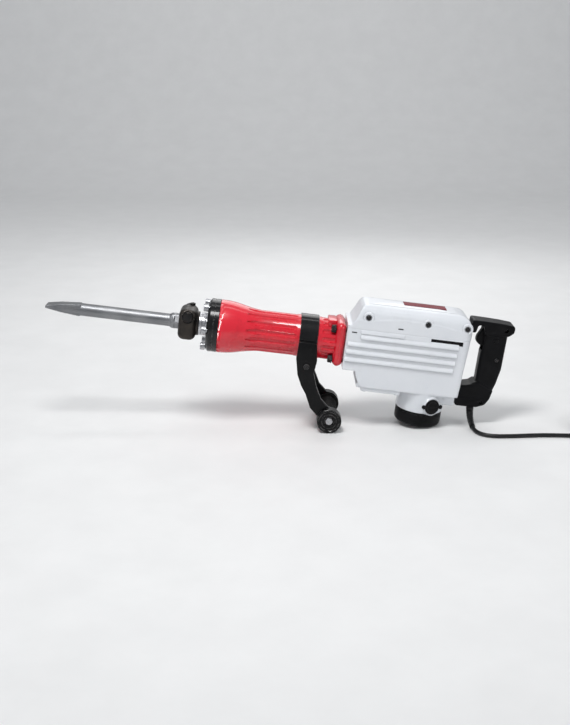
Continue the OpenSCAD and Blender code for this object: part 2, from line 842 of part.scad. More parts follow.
module cord_guard() {
    n = len(guard_points);
    color([0.06, 0.06, 0.06])
        tube(guard_points, [for (i = [0:n - 1]) 9.3 - (9.3 - 6) * i / (n - 1)], 12);
}

module cord_run() {
    color([0.05, 0.05, 0.05]) tube(run_points, [for (p = run_points) cord_r], 10);
}

module cord_coil() {
    r0 = coil_mid[0] - cord_r;
    r1 = coil_mid[2] + cord_r;
    z0 = coil_at[2] - cord_r;
    color([0.05, 0.05, 0.05]) translate([coil_at[0], coil_at[1], 0])
        rotate_extrude($fn = 64) polygon([
            [r0, z0], [r1, z0], [r1, z0 + cord_d + row_step], [r0, z0 + cord_d + row_step]
        ]);
}

module cord_tail() {
    color([0.05, 0.05, 0.05]) tube(tail_points, [for (p = tail_points) cord_r], 10);
}

// Strap that holds the coil's turns together
module cord_tie() {
    r0 = coil_mid[0] - cord_r - 0.3;
    r1 = coil_mid[2] + cord_r + 0.3;
    z0 = coil_at[2] - cord_r - 0.3;
    z1 = coil_at[2] + cord_r + row_step + 0.3;
    color([0.1, 0.1, 0.1]) translate([coil_at[0], coil_at[1], 0]) rotate([0, 0, tie_angle]) difference() {
        block([r0 - 1.2, -5, z0 - 1.2], [r1 + 1.2, 5, z1 + 1.2]);
        block([r0, -6, z0], [r1, 6, z1]);
    }
}

module plug_body() {
    outline = [
        [0, 0], [5.5, 0], [7, 12], [17.5, 24], [17.8, 44], [17.8, 48], [0, 48]
    ];
    color([0.06, 0.06, 0.06]) translate([plug_x, plug_y0, plug_z]) rotate([-90, 0, 0])
        difference() {
            rotate_extrude($fn = 64) polygon(outline);
            for (s = [-1, 1]) translate([s * 9.5, 0, 38]) cylinder(h = 20, r = pin_root_r);
        }
}

module plug_pins() {
    color([0.75, 0.75, 0.76]) translate([plug_x, plug_y0, plug_z]) rotate([-90, 0, 0])
        for (s = [-1, 1]) translate([s * 9.5, 0, 0]) {
            translate([0, 0, 38.2]) cylinder(h = 10, r = pin_root_r);
            translate([0, 0, 48.1]) cylinder(h = 19, r = 2.4);
        }
}

chisel();
nose_block();
retainer_lever();
retainer_spring_plug();
tool_holder();
front_cover();
front_cover_bolts();
front_seal();
barrel();
barrel_flange_bolts();
impact_damper();
hammer_guide();
second_hammer();
striker();
cylinder_tube();  // cylinder
piston();
piston_ring();
wrist_pin();
connecting_rod();
big_end_bearing();
crankshaft();
crank_gear();
countershaft();
first_gear();
bearings();
bearing_plate();
main_housing();
top_cover();
top_cover_screws();
bottom_cover();
roof_plate();
armature_shaft();
armature_core();
commutator();
fan();
stator();
brush_holders();
carbon_brushes();
brush_caps();
tail_cover();
handle_left();
handle_right();
handle_screws();
trigger();
lock_button();
switch_body();
side_strap();
side_arms();
side_grip();
side_grip_rod();
side_screws();
cord_guard();
cord_run();
cord_coil();
cord_tail();
cord_tie();
plug_body();
plug_pins();
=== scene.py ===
# The demolition hammer stands nose up on its tail cover and its side grip. Its own
# frame lies along the barrel axis, and the record's joints say where that axis runs.
import json
import math

import bpy
from mathutils import Matrix, Vector


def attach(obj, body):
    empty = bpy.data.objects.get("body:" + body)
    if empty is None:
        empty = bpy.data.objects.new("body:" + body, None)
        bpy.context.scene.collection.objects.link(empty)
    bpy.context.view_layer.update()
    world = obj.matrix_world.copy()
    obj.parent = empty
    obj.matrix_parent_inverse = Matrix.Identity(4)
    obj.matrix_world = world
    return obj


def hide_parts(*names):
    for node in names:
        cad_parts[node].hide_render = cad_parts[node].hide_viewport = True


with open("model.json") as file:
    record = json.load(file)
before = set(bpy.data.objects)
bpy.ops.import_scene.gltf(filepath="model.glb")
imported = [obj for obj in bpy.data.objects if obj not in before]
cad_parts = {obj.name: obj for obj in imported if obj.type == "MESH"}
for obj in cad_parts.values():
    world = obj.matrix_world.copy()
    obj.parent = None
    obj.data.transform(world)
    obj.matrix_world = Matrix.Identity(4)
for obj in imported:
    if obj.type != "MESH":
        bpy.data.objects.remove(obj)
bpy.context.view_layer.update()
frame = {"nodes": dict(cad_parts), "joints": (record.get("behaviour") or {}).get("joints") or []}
joints = {j["name"]: j for j in frame["joints"]}
up = Vector(joints["crank_turn"]["axis"]).normalized()
back = Vector(joints["side_handle_turn"]["axis"]).normalized()
strap_x = 197.5
tool_zero = Vector(joints["side_handle_turn"]["pos_m"]) - strap_x / 1000 * back
PLACE = Matrix.Translation(tool_zero) @ Matrix((back, up.cross(back), up)).transposed().to_4x4()


# The camera stands in front of the tool's left side, a little above it. A large soft
# light hangs over it, a weaker one fills from the left and a low one comes from the right.
def look_from(spot, aim):
    return (Vector(aim) - Vector(spot)).to_track_quat("-Z", "Y").to_euler()


cam_aim, cam_far, cam_rise = Vector((0.0084, 0.0, 0.1362)), 2.204, math.radians(17)
cam_lens = 50.8
cam_spot = cam_aim + cam_far * Vector((0, -math.cos(cam_rise), math.sin(cam_rise)))
bpy.ops.object.camera_add(location=cam_spot, rotation=look_from(cam_spot, cam_aim))
camera = bpy.context.object
camera.data.lens = cam_lens
bpy.context.scene.camera = camera

for name, spot, aim, size, watts in (
    ("key_light", (-0.25, -0.75, 1.9), (0.05, 0, 0.1), 0.6, 25),
    ("fill_light", (-1.8, -1.5, 0.9), (0, 0, 0.15), 1.2, 3.2),
    ("side_light", (1.7, -1.0, 0.8), (0.1, 0, 0.1), 0.8, 6),
    ("back_light", (0.3, 1.6, 1.3), (0, 0, 0.1), 1.2, 8),
    ("wall_light", (0, 1.0, 3.2), (0, 5, 1.2), 2.5, 52),
):
    bpy.ops.object.light_add(type="AREA", location=spot, rotation=look_from(spot, aim))
    bpy.context.object.name = name
    bpy.context.object.data.size = size
    bpy.context.object.data.energy = watts

sky = bpy.data.worlds.new("studio_air")
sky.use_nodes = True
sky.node_tree.nodes["Background"].inputs["Color"].default_value = (0.86, 0.89, 0.94, 1)
sky.node_tree.nodes["Background"].inputs["Strength"].default_value = 0.4
bpy.context.scene.world = sky
bpy.context.scene.view_settings.view_transform = "Standard"


# Shared surface effects: rubbed edges, a mottled patch mask, and the ripple of a
# painted or moulded skin. Each puts out one value that a finish mixes or bumps with.
def effect(name, inputs, output):
    tree = bpy.data.node_groups.new(name, "ShaderNodeTree")
    for label, value in inputs:
        tree.interface.new_socket(label, in_out="INPUT", socket_type="NodeSocketFloat")
        tree.interface.items_tree[-1].default_value = value
    tree.interface.new_socket(output, in_out="OUTPUT", socket_type="NodeSocketFloat")
    return tree, tree.nodes.new("NodeGroupInput"), tree.nodes.new("NodeGroupOutput")


def node(tree, kind, links=(), **settings):
    made = tree.nodes.new("ShaderNode" + kind)
    for key, value in settings.items():
        setattr(made, key, value)
    for socket, value in links:
        if isinstance(value, bpy.types.NodeSocket):
            tree.links.new(value, made.inputs[socket])
        else:
            made.inputs[socket].default_value = value
    return made


def patches_group():
    tree, given, out = effect(
        "patches", (("Scale", 60), ("Low", 0.5), ("High", 0.62), ("Rough", 0.6)), "Mask"
    )
    where = node(tree, "TexCoord")
    cloud = node(tree, "TexNoise", (
        ("Vector", where.outputs["Object"]), ("Scale", given.outputs["Scale"]),
        ("Detail", 5), ("Roughness", given.outputs["Rough"]),
    ))
    cut = node(tree, "MapRange", (
        ("Value", cloud.outputs[0]), ("From Min", given.outputs["Low"]),
        ("From Max", given.outputs["High"]),
    ))
    tree.links.new(cut.outputs[0], out.inputs[0])
    return tree


def worn_group(patches):
    tree, given, out = effect(
        "worn_edges", (("Width", 0.0015), ("Amount", 1), ("Scale", 180)), "Mask"
    )
    edge = node(tree, "Bevel", (("Radius", given.outputs["Width"]),), samples=4)
    face = node(tree, "NewGeometry")
    turn = node(tree, "VectorMath", ((0, edge.outputs[0]), (1, face.outputs["Normal"])),
                operation="DOT_PRODUCT")
    sharp = node(tree, "MapRange", (
        ("Value", turn.outputs["Value"]), ("From Min", 0.985), ("From Max", 0.86)))
    chips = node(tree, "Group", node_tree=patches)
    tree.links.new(given.outputs["Scale"], chips.inputs["Scale"])
    chips.inputs["Low"].default_value = 0.46
    chips.inputs["High"].default_value = 0.56
    both = node(tree, "Math", ((0, sharp.outputs[0]), (1, chips.outputs[0])),
                operation="MULTIPLY")
    part = node(tree, "Math", ((0, both.outputs[0]), (1, given.outputs["Amount"])),
                operation="MULTIPLY", use_clamp=True)
    tree.links.new(part.outputs[0], out.inputs[0])
    return tree


def skin_group():
    tree, given, out = effect(
        "skin", (("Ripple", 300), ("Grain", 2500), ("Share", 0.4), ("Stretch", 1)), "Height"
    )
    where = node(tree, "TexCoord")
    pull = node(tree, "CombineXYZ", (("X", given.outputs["Stretch"]), ("Y", 1.0), ("Z", 1.0)))
    place = node(tree, "VectorMath", ((0, where.outputs["Object"]), (1, pull.outputs[0])),
                 operation="MULTIPLY")
    soft = node(tree, "TexNoise", (
        ("Vector", place.outputs[0]), ("Scale", given.outputs["Ripple"]), ("Detail", 1)))
    fine = node(tree, "TexNoise", (
        ("Vector", place.outputs[0]), ("Scale", given.outputs["Grain"]), ("Detail", 3)))
    both = node(tree, "Mix", (
        (0, given.outputs["Share"]), (2, soft.outputs[0]), (3, fine.outputs[0])))
    tree.links.new(both.outputs[0], out.inputs[0])
    return tree


PATCHES = patches_group()
WORN = worn_group(PATCHES)
SKIN = skin_group()


def group(tree, kind, **values):
    made = node(tree, "Group", node_tree=kind)
    for key, value in values.items():
        made.inputs[key].default_value = value
    return made.outputs[0]


def blend_colour(tree, mask, under, over, share=1.0):
    if share != 1.0:
        mask = node(tree, "Math", ((0, mask), (1, share)), operation="MULTIPLY").outputs[0]
    mixed = node(tree, "Mix", ((0, mask), (6, under), (7, over)), data_type="RGBA")
    return mixed.outputs[2]


def blend_value(tree, mask, under, over):
    return node(tree, "Mix", ((0, mask), (2, under), (3, over))).outputs[0]


def rgba(colour):
    return (*colour, 1.0)


# A finish is a base colour with cloudy tone, soiled patches, painted shade in the hollows,
# rubbed edges that show what lies beneath, and a rippled and grained skin. Lengths are in metres.
def finish(
    name, base, tone, rough, metal=0.0, coat=0.0, coat_rough=0.05, cloud=9, soil_and_shade=None,
    soil_share=0.35, soil_rough=0.7, soil_scale=45, soil_cut=(0.5, 0.68), beneath=None,
    beneath_metal=0.0, worn=1.0, worn_width=0.0012, worn_scale=220, ripple=300, grain=2500,
    share=0.4, stretch=1.0, bump=0.12, depth=0.0003, specular=0.5, painted_shade=0.0,
):
    made = bpy.data.materials.new(name)
    made.use_nodes = True
    tree = made.node_tree
    shader = tree.nodes["Principled BSDF"]
    clouds = group(tree, PATCHES, Scale=cloud, Low=0.35, High=0.68)
    colour = blend_colour(tree, clouds, rgba(base), rgba(tone))
    roughness = blend_value(tree, clouds, rough, min(1.0, rough * 1.3))
    metallic = metal
    if soil_and_shade:
        dirt = group(tree, PATCHES, Scale=soil_scale, Low=soil_cut[0], High=soil_cut[1], Rough=0.7)
        colour = blend_colour(tree, dirt, colour, rgba(soil_and_shade), soil_share)
        part = node(tree, "Math", ((0, dirt), (1, soil_share)), operation="MULTIPLY").outputs[0]
        roughness = blend_value(tree, part, roughness, soil_rough)
    # Painted shade: ambient occlusion darkens nooks and hollows towards the soil colour, standing
    # in for the shade that falls there.
    if painted_shade:
        ao_shade = node(tree, "AmbientOcclusion", (("Distance", 0.007),), samples=6, only_local=True)
        inside = node(tree, "MapRange", (
            ("Value", ao_shade.outputs["AO"]), ("From Min", 0.9), ("From Max", 0.45)))
        colour = blend_colour(tree, inside.outputs[0], colour, rgba(soil_and_shade), painted_shade)
    if beneath:
        chips = group(tree, WORN, Width=worn_width, Amount=worn, Scale=worn_scale)
        colour = blend_colour(tree, chips, colour, rgba(beneath))
        roughness = blend_value(tree, chips, roughness, 0.42)
        if beneath_metal != metal:
            metallic = blend_value(tree, chips, metal, beneath_metal)
    for socket, value in (("Base Color", colour), ("Roughness", roughness)):
        tree.links.new(value, shader.inputs[socket])
    if isinstance(metallic, bpy.types.NodeSocket):
        tree.links.new(metallic, shader.inputs["Metallic"])
    else:
        shader.inputs["Metallic"].default_value = metallic
    shader.inputs["Coat Weight"].default_value = coat
    shader.inputs["Coat Roughness"].default_value = coat_rough
    shader.inputs["Specular IOR Level"].default_value = specular
    skin = group(tree, SKIN, Ripple=ripple, Grain=grain, Share=share, Stretch=stretch)
    relief = node(tree, "Bump", (("Strength", bump), ("Distance", depth), ("Height", skin)))
    tree.links.new(relief.outputs[0], shader.inputs["Normal"])
    return made


# The floor is a plain pale sheet that sweeps up into a wall far behind the tool.
bpy.ops.mesh.primitive_plane_add(size=12, location=(0, -2.5, 0))
floor = bpy.context.object
floor.name = "floor"
bpy.ops.object.transform_apply(location=True)
for line in floor.data.edges:
    line.select = all(floor.data.vertices[k].co.y > 3 for k in line.vertices)
for k, v in enumerate(floor.data.vertices):
    v.select = v.co.y > 3
for face in floor.data.polygons:
    face.select = False
bpy.ops.object.mode_set(mode="EDIT")
for k in range(12):
    lean = math.radians(90 * (k + 0.5) / 12)
    bpy.ops.mesh.extrude_region_move(TRANSFORM_OT_translate={
        "value": (0, 0.2 * math.cos(lean), 0.2 * math.sin(lean))})
bpy.ops.mesh.extrude_region_move(TRANSFORM_OT_translate={"value": (0, 0, 5)})
bpy.ops.object.mode_set(mode="OBJECT")
bpy.ops.object.shade_smooth()
floor.data.materials.append(finish(
    "pale_floor", (0.78, 0.78, 0.775), (0.81, 0.81, 0.805), 0.55, bump=0.02, specular=0.2))


# The mains cord is rubber sheathed, 8.5 mm thick and medium stiff. It leaves the rear
# handle downwards through a tapered rubber guard, runs along the floor to the right and
# is stored as a round coil of six and a quarter turns held by a strap, plug on top.
CORD_MM = 8.5


def leg(*points):
    return [Vector(p) / 1000 for p in points]


def turns(centre, start, end, columns, rows):
    """Points of a wound coil; columns and rows give radius and height by angle."""
    def between(steps, a):
        low, high = steps[0], steps[-1]
        for one, two in zip(steps, steps[1:]):
            if one[0] <= a <= two[0]:
                low, high = one, two
        share = 0 if a <= low[0] or high[0] == low[0] else min(1, (a - low[0]) / (high[0] - low[0]))
        share = (1 - math.cos(math.pi * share)) / 2
        return low[1] + (high[1] - low[1]) * share

    made = []
    for k in range(int((end - start) / 15) + 1):
        a = start + 15 * k
        r, z = between(columns, a), between(rows, a)
        made.append(Vector((
            centre[0] + r * math.cos(math.radians(a)), centre[1] + r * math.sin(math.radians(a)),
            centre[2] + z)) / 1000)
    return made


guard_line = leg(
    (413, 0, 48), (411.8, 0, 38), (411, -4, 28), (410.3, -13, 19.5), (410, -26, 13),
    (410, -40, 9), (410.5, -53, 7))
floor_line = leg(
    (411.5, -62, 5.8), (415, -73, 5), (421, -83, 4.6), (430, -91, 4.5), (441, -96, 4.5),
    (454, -98, 4.5), (470, -98, 4.5), (490, -97, 4.5), (510, -95, 4.5), (530, -93, 4.5),
    (550, -92, 4.5), (570, -92, 4.5), (590, -93, 4.5), (610, -95, 4.7), (630, -96.5, 5),
    (650, -97, 5.5), (672, -97, 5.9))
inner, middle, outer = 42.4, 51.0, 59.6
wound = turns(
    (692, -37.4, 6), -90, 2160,
    ((-90, outer), (200, outer), (240, middle), (560, middle), (600, inner), (1200, inner),
     (1240, middle), (1560, middle), (1600, outer), (2160, outer)),
    ((-90, 0), (880, 0), (920, 8.6), (1880, 8.6), (1920, 17.2), (2160, 17.2)))
plug_line = leg((751.6, -28, 23), (751.6, -18, 21.5), (751.6, -8, 19.3), (751.6, -1, 18.6))
route = guard_line[1:] + floor_line + wound + plug_line


def line_piece(name, points, radius, radii=None):
    made = bpy.data.curves.new(name, "CURVE")
    made.dimensions = "3D"
    made.bevel_depth = radius
    made.bevel_resolution = 5
    made.resolution_u = 4
    spline = made.splines.new("NURBS")
    spline.points.add(len(points) - 1)
    for k, p in enumerate(points):
        spline.points[k].co = (*p, 1)
        spline.points[k].radius = radii[k] if radii else 1
    spline.order_u = 4
    spline.use_endpoint_u = True
    made.use_fill_caps = True
    piece = bpy.data.objects.new(name, made)
    bpy.context.collection.objects.link(piece)
    return piece


cord_sheath = finish(
    "cord_sheath", (0.004, 0.004, 0.0045), (0.008, 0.008, 0.009), 0.3, cloud=25,
    specular=0.4, soil_and_shade=(0.09, 0.085, 0.08), soil_share=0.1, soil_scale=90, grain=1600, bump=0.25)
cord = line_piece("mains_cord", route, CORD_MM / 2000)
cord.data.materials.append(cord_sheath)
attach(cord, "frame")
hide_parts("cord_run", "cord_coil", "cord_tail")


# The guard is a black rubber sleeve moulded over the cord, ribbed and tapered, and it
# bends with the cord where that leaves the rear handle.
def clear():
    bpy.ops.object.select_all(action="DESELECT")


def only(piece):
    clear()
    piece.select_set(True)
    bpy.context.view_layer.objects.active = piece


def change(piece, kind, **settings):
    only(piece)
    step = piece.modifiers.new(kind.lower(), kind)
    for key, value in settings.items():
        setattr(step, key, value)
    bpy.ops.object.modifier_apply(modifier=step.name)


sleeve_line, sleeve_wide = [], []
for one, two in zip(guard_line, guard_line[1:]):
    for part in range(4):
        sleeve_line.append(one.lerp(two, part / 4))
for k in range(len(sleeve_line)):
    taper = 9.3 - 3.3 * k / (len(sleeve_line) - 1)
    sleeve_wide.append(taper - (0.9 if k % 2 and 4 < k < 21 else 0))
guard = line_piece("cord_guard_sleeve", sleeve_line, 0.001, sleeve_wide)
only(guard)
bpy.ops.object.convert(target="MESH")
guard_rubber = finish(
    "guard_rubber", (0.004, 0.004, 0.0045), (0.008, 0.008, 0.009), 0.34, cloud=40,
    specular=0.4, soil_and_shade=(0.1, 0.095, 0.09), soil_share=0.08, soil_scale=120, grain=2200, bump=0.3)
guard.data.materials.append(guard_rubber)
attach(guard, "frame")
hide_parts("cord_guard")


# The chisel is forged from 30 mm hexagon bar: hexagon shank, turned body and a flat
# tapered blade. Drawing out has left scale and long rubbed streaks along the steel.
MM = Matrix.Scale(0.001, 4)


def edit(piece=None):
    if piece:
        only(piece)
    bpy.ops.object.mode_set(mode="EDIT")


def done():
    bpy.ops.object.mode_set(mode="OBJECT")


def settle(piece):
    """Puts a piece drawn in millimetres in the tool's frame where it belongs."""
    only(piece)
    bpy.ops.object.transform_apply(location=True, rotation=True, scale=True)
    piece.data.transform(PLACE @ MM)
    piece.data.update()


def outward():
    bpy.ops.mesh.select_all(action="SELECT")
    bpy.ops.mesh.remove_doubles(threshold=0.001)
    bpy.ops.mesh.normals_make_consistent(inside=False)


def turned(name, steps, sides=96, through=False, middle=(0, 0), axis="X"):
    """Turned on a lathe along X, Y or Z: steps give place and radius from end to end."""
    clear()
    turn = {"X": (0, math.pi / 2, 0), "Y": (-math.pi / 2, 0, 0), "Z": (0, 0, 0)}[axis]
    where = {"X": lambda a: (a, *middle), "Y": lambda a: (middle[0], a, middle[1]),
             "Z": lambda a: (*middle, a)}[axis]
    grow = {"X": lambda k: (1, k, k), "Y": lambda k: (k, 1, k), "Z": lambda k: (k, k, 1)}[axis]
    bpy.ops.mesh.primitive_circle_add(
        vertices=sides, radius=steps[0][1], fill_type="NGON", location=where(steps[0][0]),
        rotation=turn)
    piece = bpy.context.object
    piece.name = name
    edit()
    for (a0, r0), (a1, r1) in zip(steps, steps[1:]):
        shift = Vector(where(a1)) - Vector(where(a0))
        bpy.ops.mesh.extrude_region_move(TRANSFORM_OT_translate={"value": shift})
        if r1 != r0:
            bpy.ops.transform.resize(value=grow(r1 / r0), center_override=where(a1))
    if through:
        bpy.ops.mesh.delete(type="ONLY_FACE")
        done()
        for face in piece.data.polygons:
            face.select = len(face.vertices) > 4
        edit()
        bpy.ops.mesh.delete(type="ONLY_FACE")
    outward()
    done()
    bpy.ops.object.transform_apply(location=True, rotation=True, scale=True)
    return piece


def traced(name, points, low, high, across="Y"):
    """An outline followed from point to point, filled, and pulled across from low to high."""
    clear()
    at = {"X": lambda p, d: (d, *p), "Y": lambda p, d: (p[0], d, p[1]),
          "Z": lambda p, d: (*p, d)}[across]
    bpy.ops.mesh.primitive_plane_add(size=1, location=at(points[0], low))
    piece = bpy.context.object
    piece.name = name
    edit()
    bpy.ops.mesh.merge(type="CENTER")
    for one, two in zip(points, points[1:]):
        step = Vector(at(two, low)) - Vector(at(one, low))
        bpy.ops.mesh.extrude_vertices_move(TRANSFORM_OT_translate={"value": step})
    bpy.ops.mesh.select_all(action="SELECT")
    bpy.ops.mesh.edge_face_add()
    pull = Vector(at((0, 0), high)) - Vector(at((0, 0), low))
    bpy.ops.mesh.extrude_region_move(TRANSFORM_OT_translate={"value": pull})
    outward()
    done()
    bpy.ops.object.transform_apply(location=True, rotation=True, scale=True)
    return piece


def brick(name, low, high):
    return traced(name, [(low[0], low[2]), (high[0], low[2]), (high[0], high[2]),
                         (low[0], high[2])], low[1], high[1])


def combine(piece, other, how):
    """Cuts, adds or keeps what two solids share, and uses up the second one."""
    change(piece, "BOOLEAN", object=other, operation=how, solver="EXACT")
    bpy.data.objects.remove(other)
    return piece


def cut(piece, other):
    return combine(piece, other, "DIFFERENCE")


def joined(name, *pieces):
    clear()
    for p in pieces:
        p.select_set(True)
    bpy.context.view_layer.objects.active = pieces[0]
    bpy.ops.object.join()
    pieces[0].name = name
    return pieces[0]


def rounded(piece, width, segments=3, angle=30):
    change(piece, "BEVEL", width=width, segments=segments, limit_method="ANGLE",
           angle_limit=math.radians(angle), harden_normals=False)
    return piece


def smooth(piece, angle=32):
    only(piece)
    bpy.ops.object.shade_smooth_by_angle(angle=math.radians(angle))
    return piece


def cast(piece, grain, rounds):
    """Runs overlapping solids together and softens every edge, as in a painted casting."""
    change(piece, "REMESH", mode="VOXEL", voxel_size=grain)
    change(piece, "SMOOTH", factor=0.5, iterations=rounds)
    only(piece)
    bpy.ops.object.shade_smooth()
    return piece


def placed(piece, turn, where):
    piece.rotation_euler = turn
    piece.location = where
    only(piece)
    bpy.ops.object.transform_apply(location=True, rotation=True, scale=True)
    return piece


def fit(piece, material, body, slot, *nodes):
    settle(piece)
    piece.data.materials.clear()
    piece.data.materials.append(material)
    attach(piece, body)
    if nodes:
        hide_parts(*nodes)
    return piece


def hexagon(name, low, high, flat, turn=0, axis="X"):
    corner = flat / 2 / math.cos(math.radians(30))
    return traced(name, [
        (corner * math.cos(math.radians(a + turn)), corner * math.sin(math.radians(a + turn)))
        for a in range(0, 360, 60)], low, high, axis)


pin_at = (-59, 18)
blade_side = [
    (-360, -2), (-330, -7.8), (-283, -13.2), (-269, -20), (-60, -20), (-60, 20), (-269, 20),
    (-283, 13.2), (-330, 9), (-360, 3.6)]
blade = traced("blade", blade_side, -15, 15)
blade = combine(blade, traced("blade_plan", [
    (-360, -15), (-287, -11.8), (-287, 11.8), (-360, 15)], -30, 30, "Z"), "INTERSECT")
bar = turned("chisel_bar", [(-345, 13.5), (-97, 13.5), (-91, 16.6), (-88, 16.6)], 64)
bar = combine(bar, traced("bar_side", blade_side, -25, 25), "INTERSECT")
shank = hexagon("shank", -97, 40, 30)
shank = combine(shank, turned("shank_turning", [(-97, 14), (-92, 17.6), (36, 17.6), (40, 15)], 64),
                "INTERSECT")
notch = brick("notch", (-59, -20, 6.2), (-34, 20, 30))
cut(shank, notch)
for spot in (pin_at, (-34, 18)):
    cut(shank, turned("notch_end", [(-20, 11.8), (20, 11.8)], 48, middle=spot, axis="Y"))
chisel = cast(joined("chisel_steel_bar", bar, blade, shank), 1.0, 3)
forged_steel = finish(
    "forged_steel", (0.20, 0.205, 0.215), (0.30, 0.305, 0.315), 0.38, metal=0.92, cloud=30,
    soil_and_shade=(0.075, 0.07, 0.066), soil_share=0.22, soil_rough=0.5, soil_scale=60,
    soil_cut=(0.5, 0.66), beneath=(0.62, 0.62, 0.63), beneath_metal=1.0, worn_width=0.0025,
    ripple=140, grain=900, share=0.5, stretch=0.12, bump=0.35, depth=0.0005)
fit(chisel, forged_steel, "bit", "chisel_steel", "chisel")


# The nose block is a forged and blackened square head with round corners. A cross pin
# with a flat locks the chisel, its lever hangs on the far side, and a small plug on top
# holds the spring that clicks the pin into place.
block = traced("nose_block_body", [
    (-33, -33), (33, -33), (33, 33), (-33, 33)], -78, -40, "X")
only(block)
edit()
bpy.ops.mesh.select_all(action="DESELECT")
done()
for line in block.data.edges:
    a, b = (block.data.vertices[k].co for k in line.vertices)
    line.select = abs(a.x - b.x) > 10
edit()
bpy.ops.mesh.bevel(offset=13, segments=8)
done()
cut(block, hexagon("nose_hole", -90, -30, 31.4))
cut(block, turned("pin_hole", [(-40, 12), (40, 12)], 48, middle=pin_at, axis="Y"))
cut(block, turned("spring_hole", [(17, 3.6), (40, 3.6)], 32, middle=(-54, 24), axis="Y"))
lump = turned("nose_lump", [(-43, 26), (-36, 25.5), (-34, 24)], 64)
block = cast(joined("nose_block_body", block, lump), 1.1, 5)
black_scale = finish(
    "blackened_scale", (0.028, 0.025, 0.023), (0.05, 0.042, 0.036), 0.36, metal=0.75,
    cloud=45, soil_and_shade=(0.07, 0.055, 0.046), soil_share=0.3, soil_rough=0.6, soil_scale=90,
    beneath=(0.34, 0.32, 0.3), beneath_metal=1.0, worn=0.8, worn_width=0.002, ripple=260,
    grain=1300, share=0.55, bump=0.4, depth=0.0004)
fit(block, black_scale, "frame", "blackened_steel", "nose_block")

pin = turned("locking_pin", [
    (-34.6, 9.6), (-33.4, 11.4), (35, 11.4), (36, 11.4), (36.2, 13.2), (37.5, 14), (42, 14),
    (43, 13)], 64, middle=pin_at, axis="Y")
cut(pin, brick("pin_flat", (-73, -19, 20.4), (-45, 19, 40)))
cut(pin, turned("pin_click", [(20, 3.6), (28, 3.6)], 24, middle=(-50, 27.5), axis="Y"))
cut(pin, hexagon("pin_socket", -40, -32.6, 5.5, axis="Z"))
lever = rounded(traced("lever_arm", [
    (-70, 14), (-67, 24), (-59, 29), (-51, 24), (-46, 10), (-33, -24), (-39, -32), (-51, -32),
    (-61, -24)], 36.4, 42.6), 1.6)
lever = cast(joined("retainer_lever_forging", pin, lever), 1.0, 2)
black_oxide = finish(
    "black_oxide", (0.016, 0.016, 0.017), (0.03, 0.029, 0.029), 0.3, metal=0.85, cloud=50,
    soil_and_shade=(0.1, 0.07, 0.05), soil_share=0.3, soil_scale=130, beneath=(0.4, 0.39, 0.38),
    beneath_metal=1.0, worn=0.7, grain=1800, bump=0.25)
fit(lever, black_oxide, "retainer", "black_steel", "retainer_lever")

plug = turned("spring_plug_cap", [
    (25, 3.3), (32.9, 3.3), (33, 5.4), (33.3, 5.9), (36.2, 5.9), (36.9, 5.2), (36.9, 2.6),
    (35.6, 2.4)], 48, middle=(-54, 24), axis="Z")
fit(smooth(plug), black_oxide, "frame", "black_steel", "retainer_spring_plug")


# The neck is turned bare steel with two shallow turned grooves, and it carries the
# hexagon socket. Behind it sits the black enamelled cover ring with six socket screws.
neck = turned("tool_holder_neck", [
    (-39.9, 16), (-39.9, 23.6), (-39, 24.4), (-30, 24.4), (-29.4, 23.8), (-28.2, 23.8),
    (-27.6, 24.4), (-23, 24.4), (-22.4, 23.8), (-21.4, 23.8), (-20.8, 24.4), (7.3, 24.4),
    (7.3, 36.8), (39.8, 36.8), (39.8, 24.4), (57, 24.4), (57, 16), (-39.9, 16)], 96, through=True)
bare_steel = finish(
    "turned_steel", (0.50, 0.50, 0.52), (0.58, 0.58, 0.6), 0.24, metal=1.0, cloud=20,
    soil_and_shade=(0.2, 0.18, 0.16), soil_share=0.3, soil_scale=70, ripple=120, grain=1800, share=0.8,
    stretch=6, bump=0.16)
fit(smooth(neck), bare_steel, "frame", "bare_steel", "tool_holder")

ring = turned("front_cover_ring", [
    (-17.5, 24.7), (-17.5, 31), (-16.2, 32.2), (-16.2, 38), (-17.5, 39.4), (-17.5, 50.4),
    (-17.2, 51.2), (-12.6, 56.2), (-11.6, 56.8), (-4.6, 56.8), (-4.2, 56.2), (-3.0, 56.2),
    (-2.6, 56.8), (6.2, 56.8), (6.9, 56.2), (6.9, 24.7), (-17.5, 24.7)], 144, through=True)
cover_screws_at = [(48.5 * math.cos(math.radians(a)), 48.5 * math.sin(math.radians(a)))
                   for a in range(0, 360, 60)]
for spot in cover_screws_at:
    cut(ring, turned("screw_hole", [(-30, 5.3), (20, 5.3)], 32, middle=spot))
black_gloss = finish(
    "black_gloss_enamel", (0.002, 0.002, 0.0025), (0.003, 0.003, 0.0035), 0.24, coat=0.55,
    coat_rough=0.1, specular=0.12, cloud=30, soil_and_shade=(0.12, 0.11, 0.1), soil_share=0.04,
    soil_scale=160,
    beneath=(0.3, 0.29, 0.28), beneath_metal=0.9, worn=0.8, worn_width=0.0009, worn_scale=320,
    ripple=230, bump=0.1)
fit(smooth(ring, 28), black_gloss, "frame", "black_enamel", "front_cover")

zinc = finish(
    "zinc_plate", (0.40, 0.41, 0.43), (0.48, 0.485, 0.5), 0.3, metal=1.0, cloud=70,
    soil_and_shade=(0.16, 0.14, 0.12), soil_share=0.4, soil_scale=240, ripple=500, grain=2600, bump=0.14)
screws = []
for spot in cover_screws_at:
    head = turned("cover_screw", [
        (-27.4, 6.2), (-27.4, 7.1), (-26.6, 7.9), (-17.6, 7.9), (-17.5, 5), (31, 5), (32, 4.2)],
        48, middle=spot)
    socket = hexagon("socket", -40, -22, 8.2)
    socket.location = (0, *spot)
    screws.append(smooth(cut(head, socket)))
fit(joined("front_cover_screws", *screws), zinc, "frame", "zinc_bolts", "front_cover_bolts")


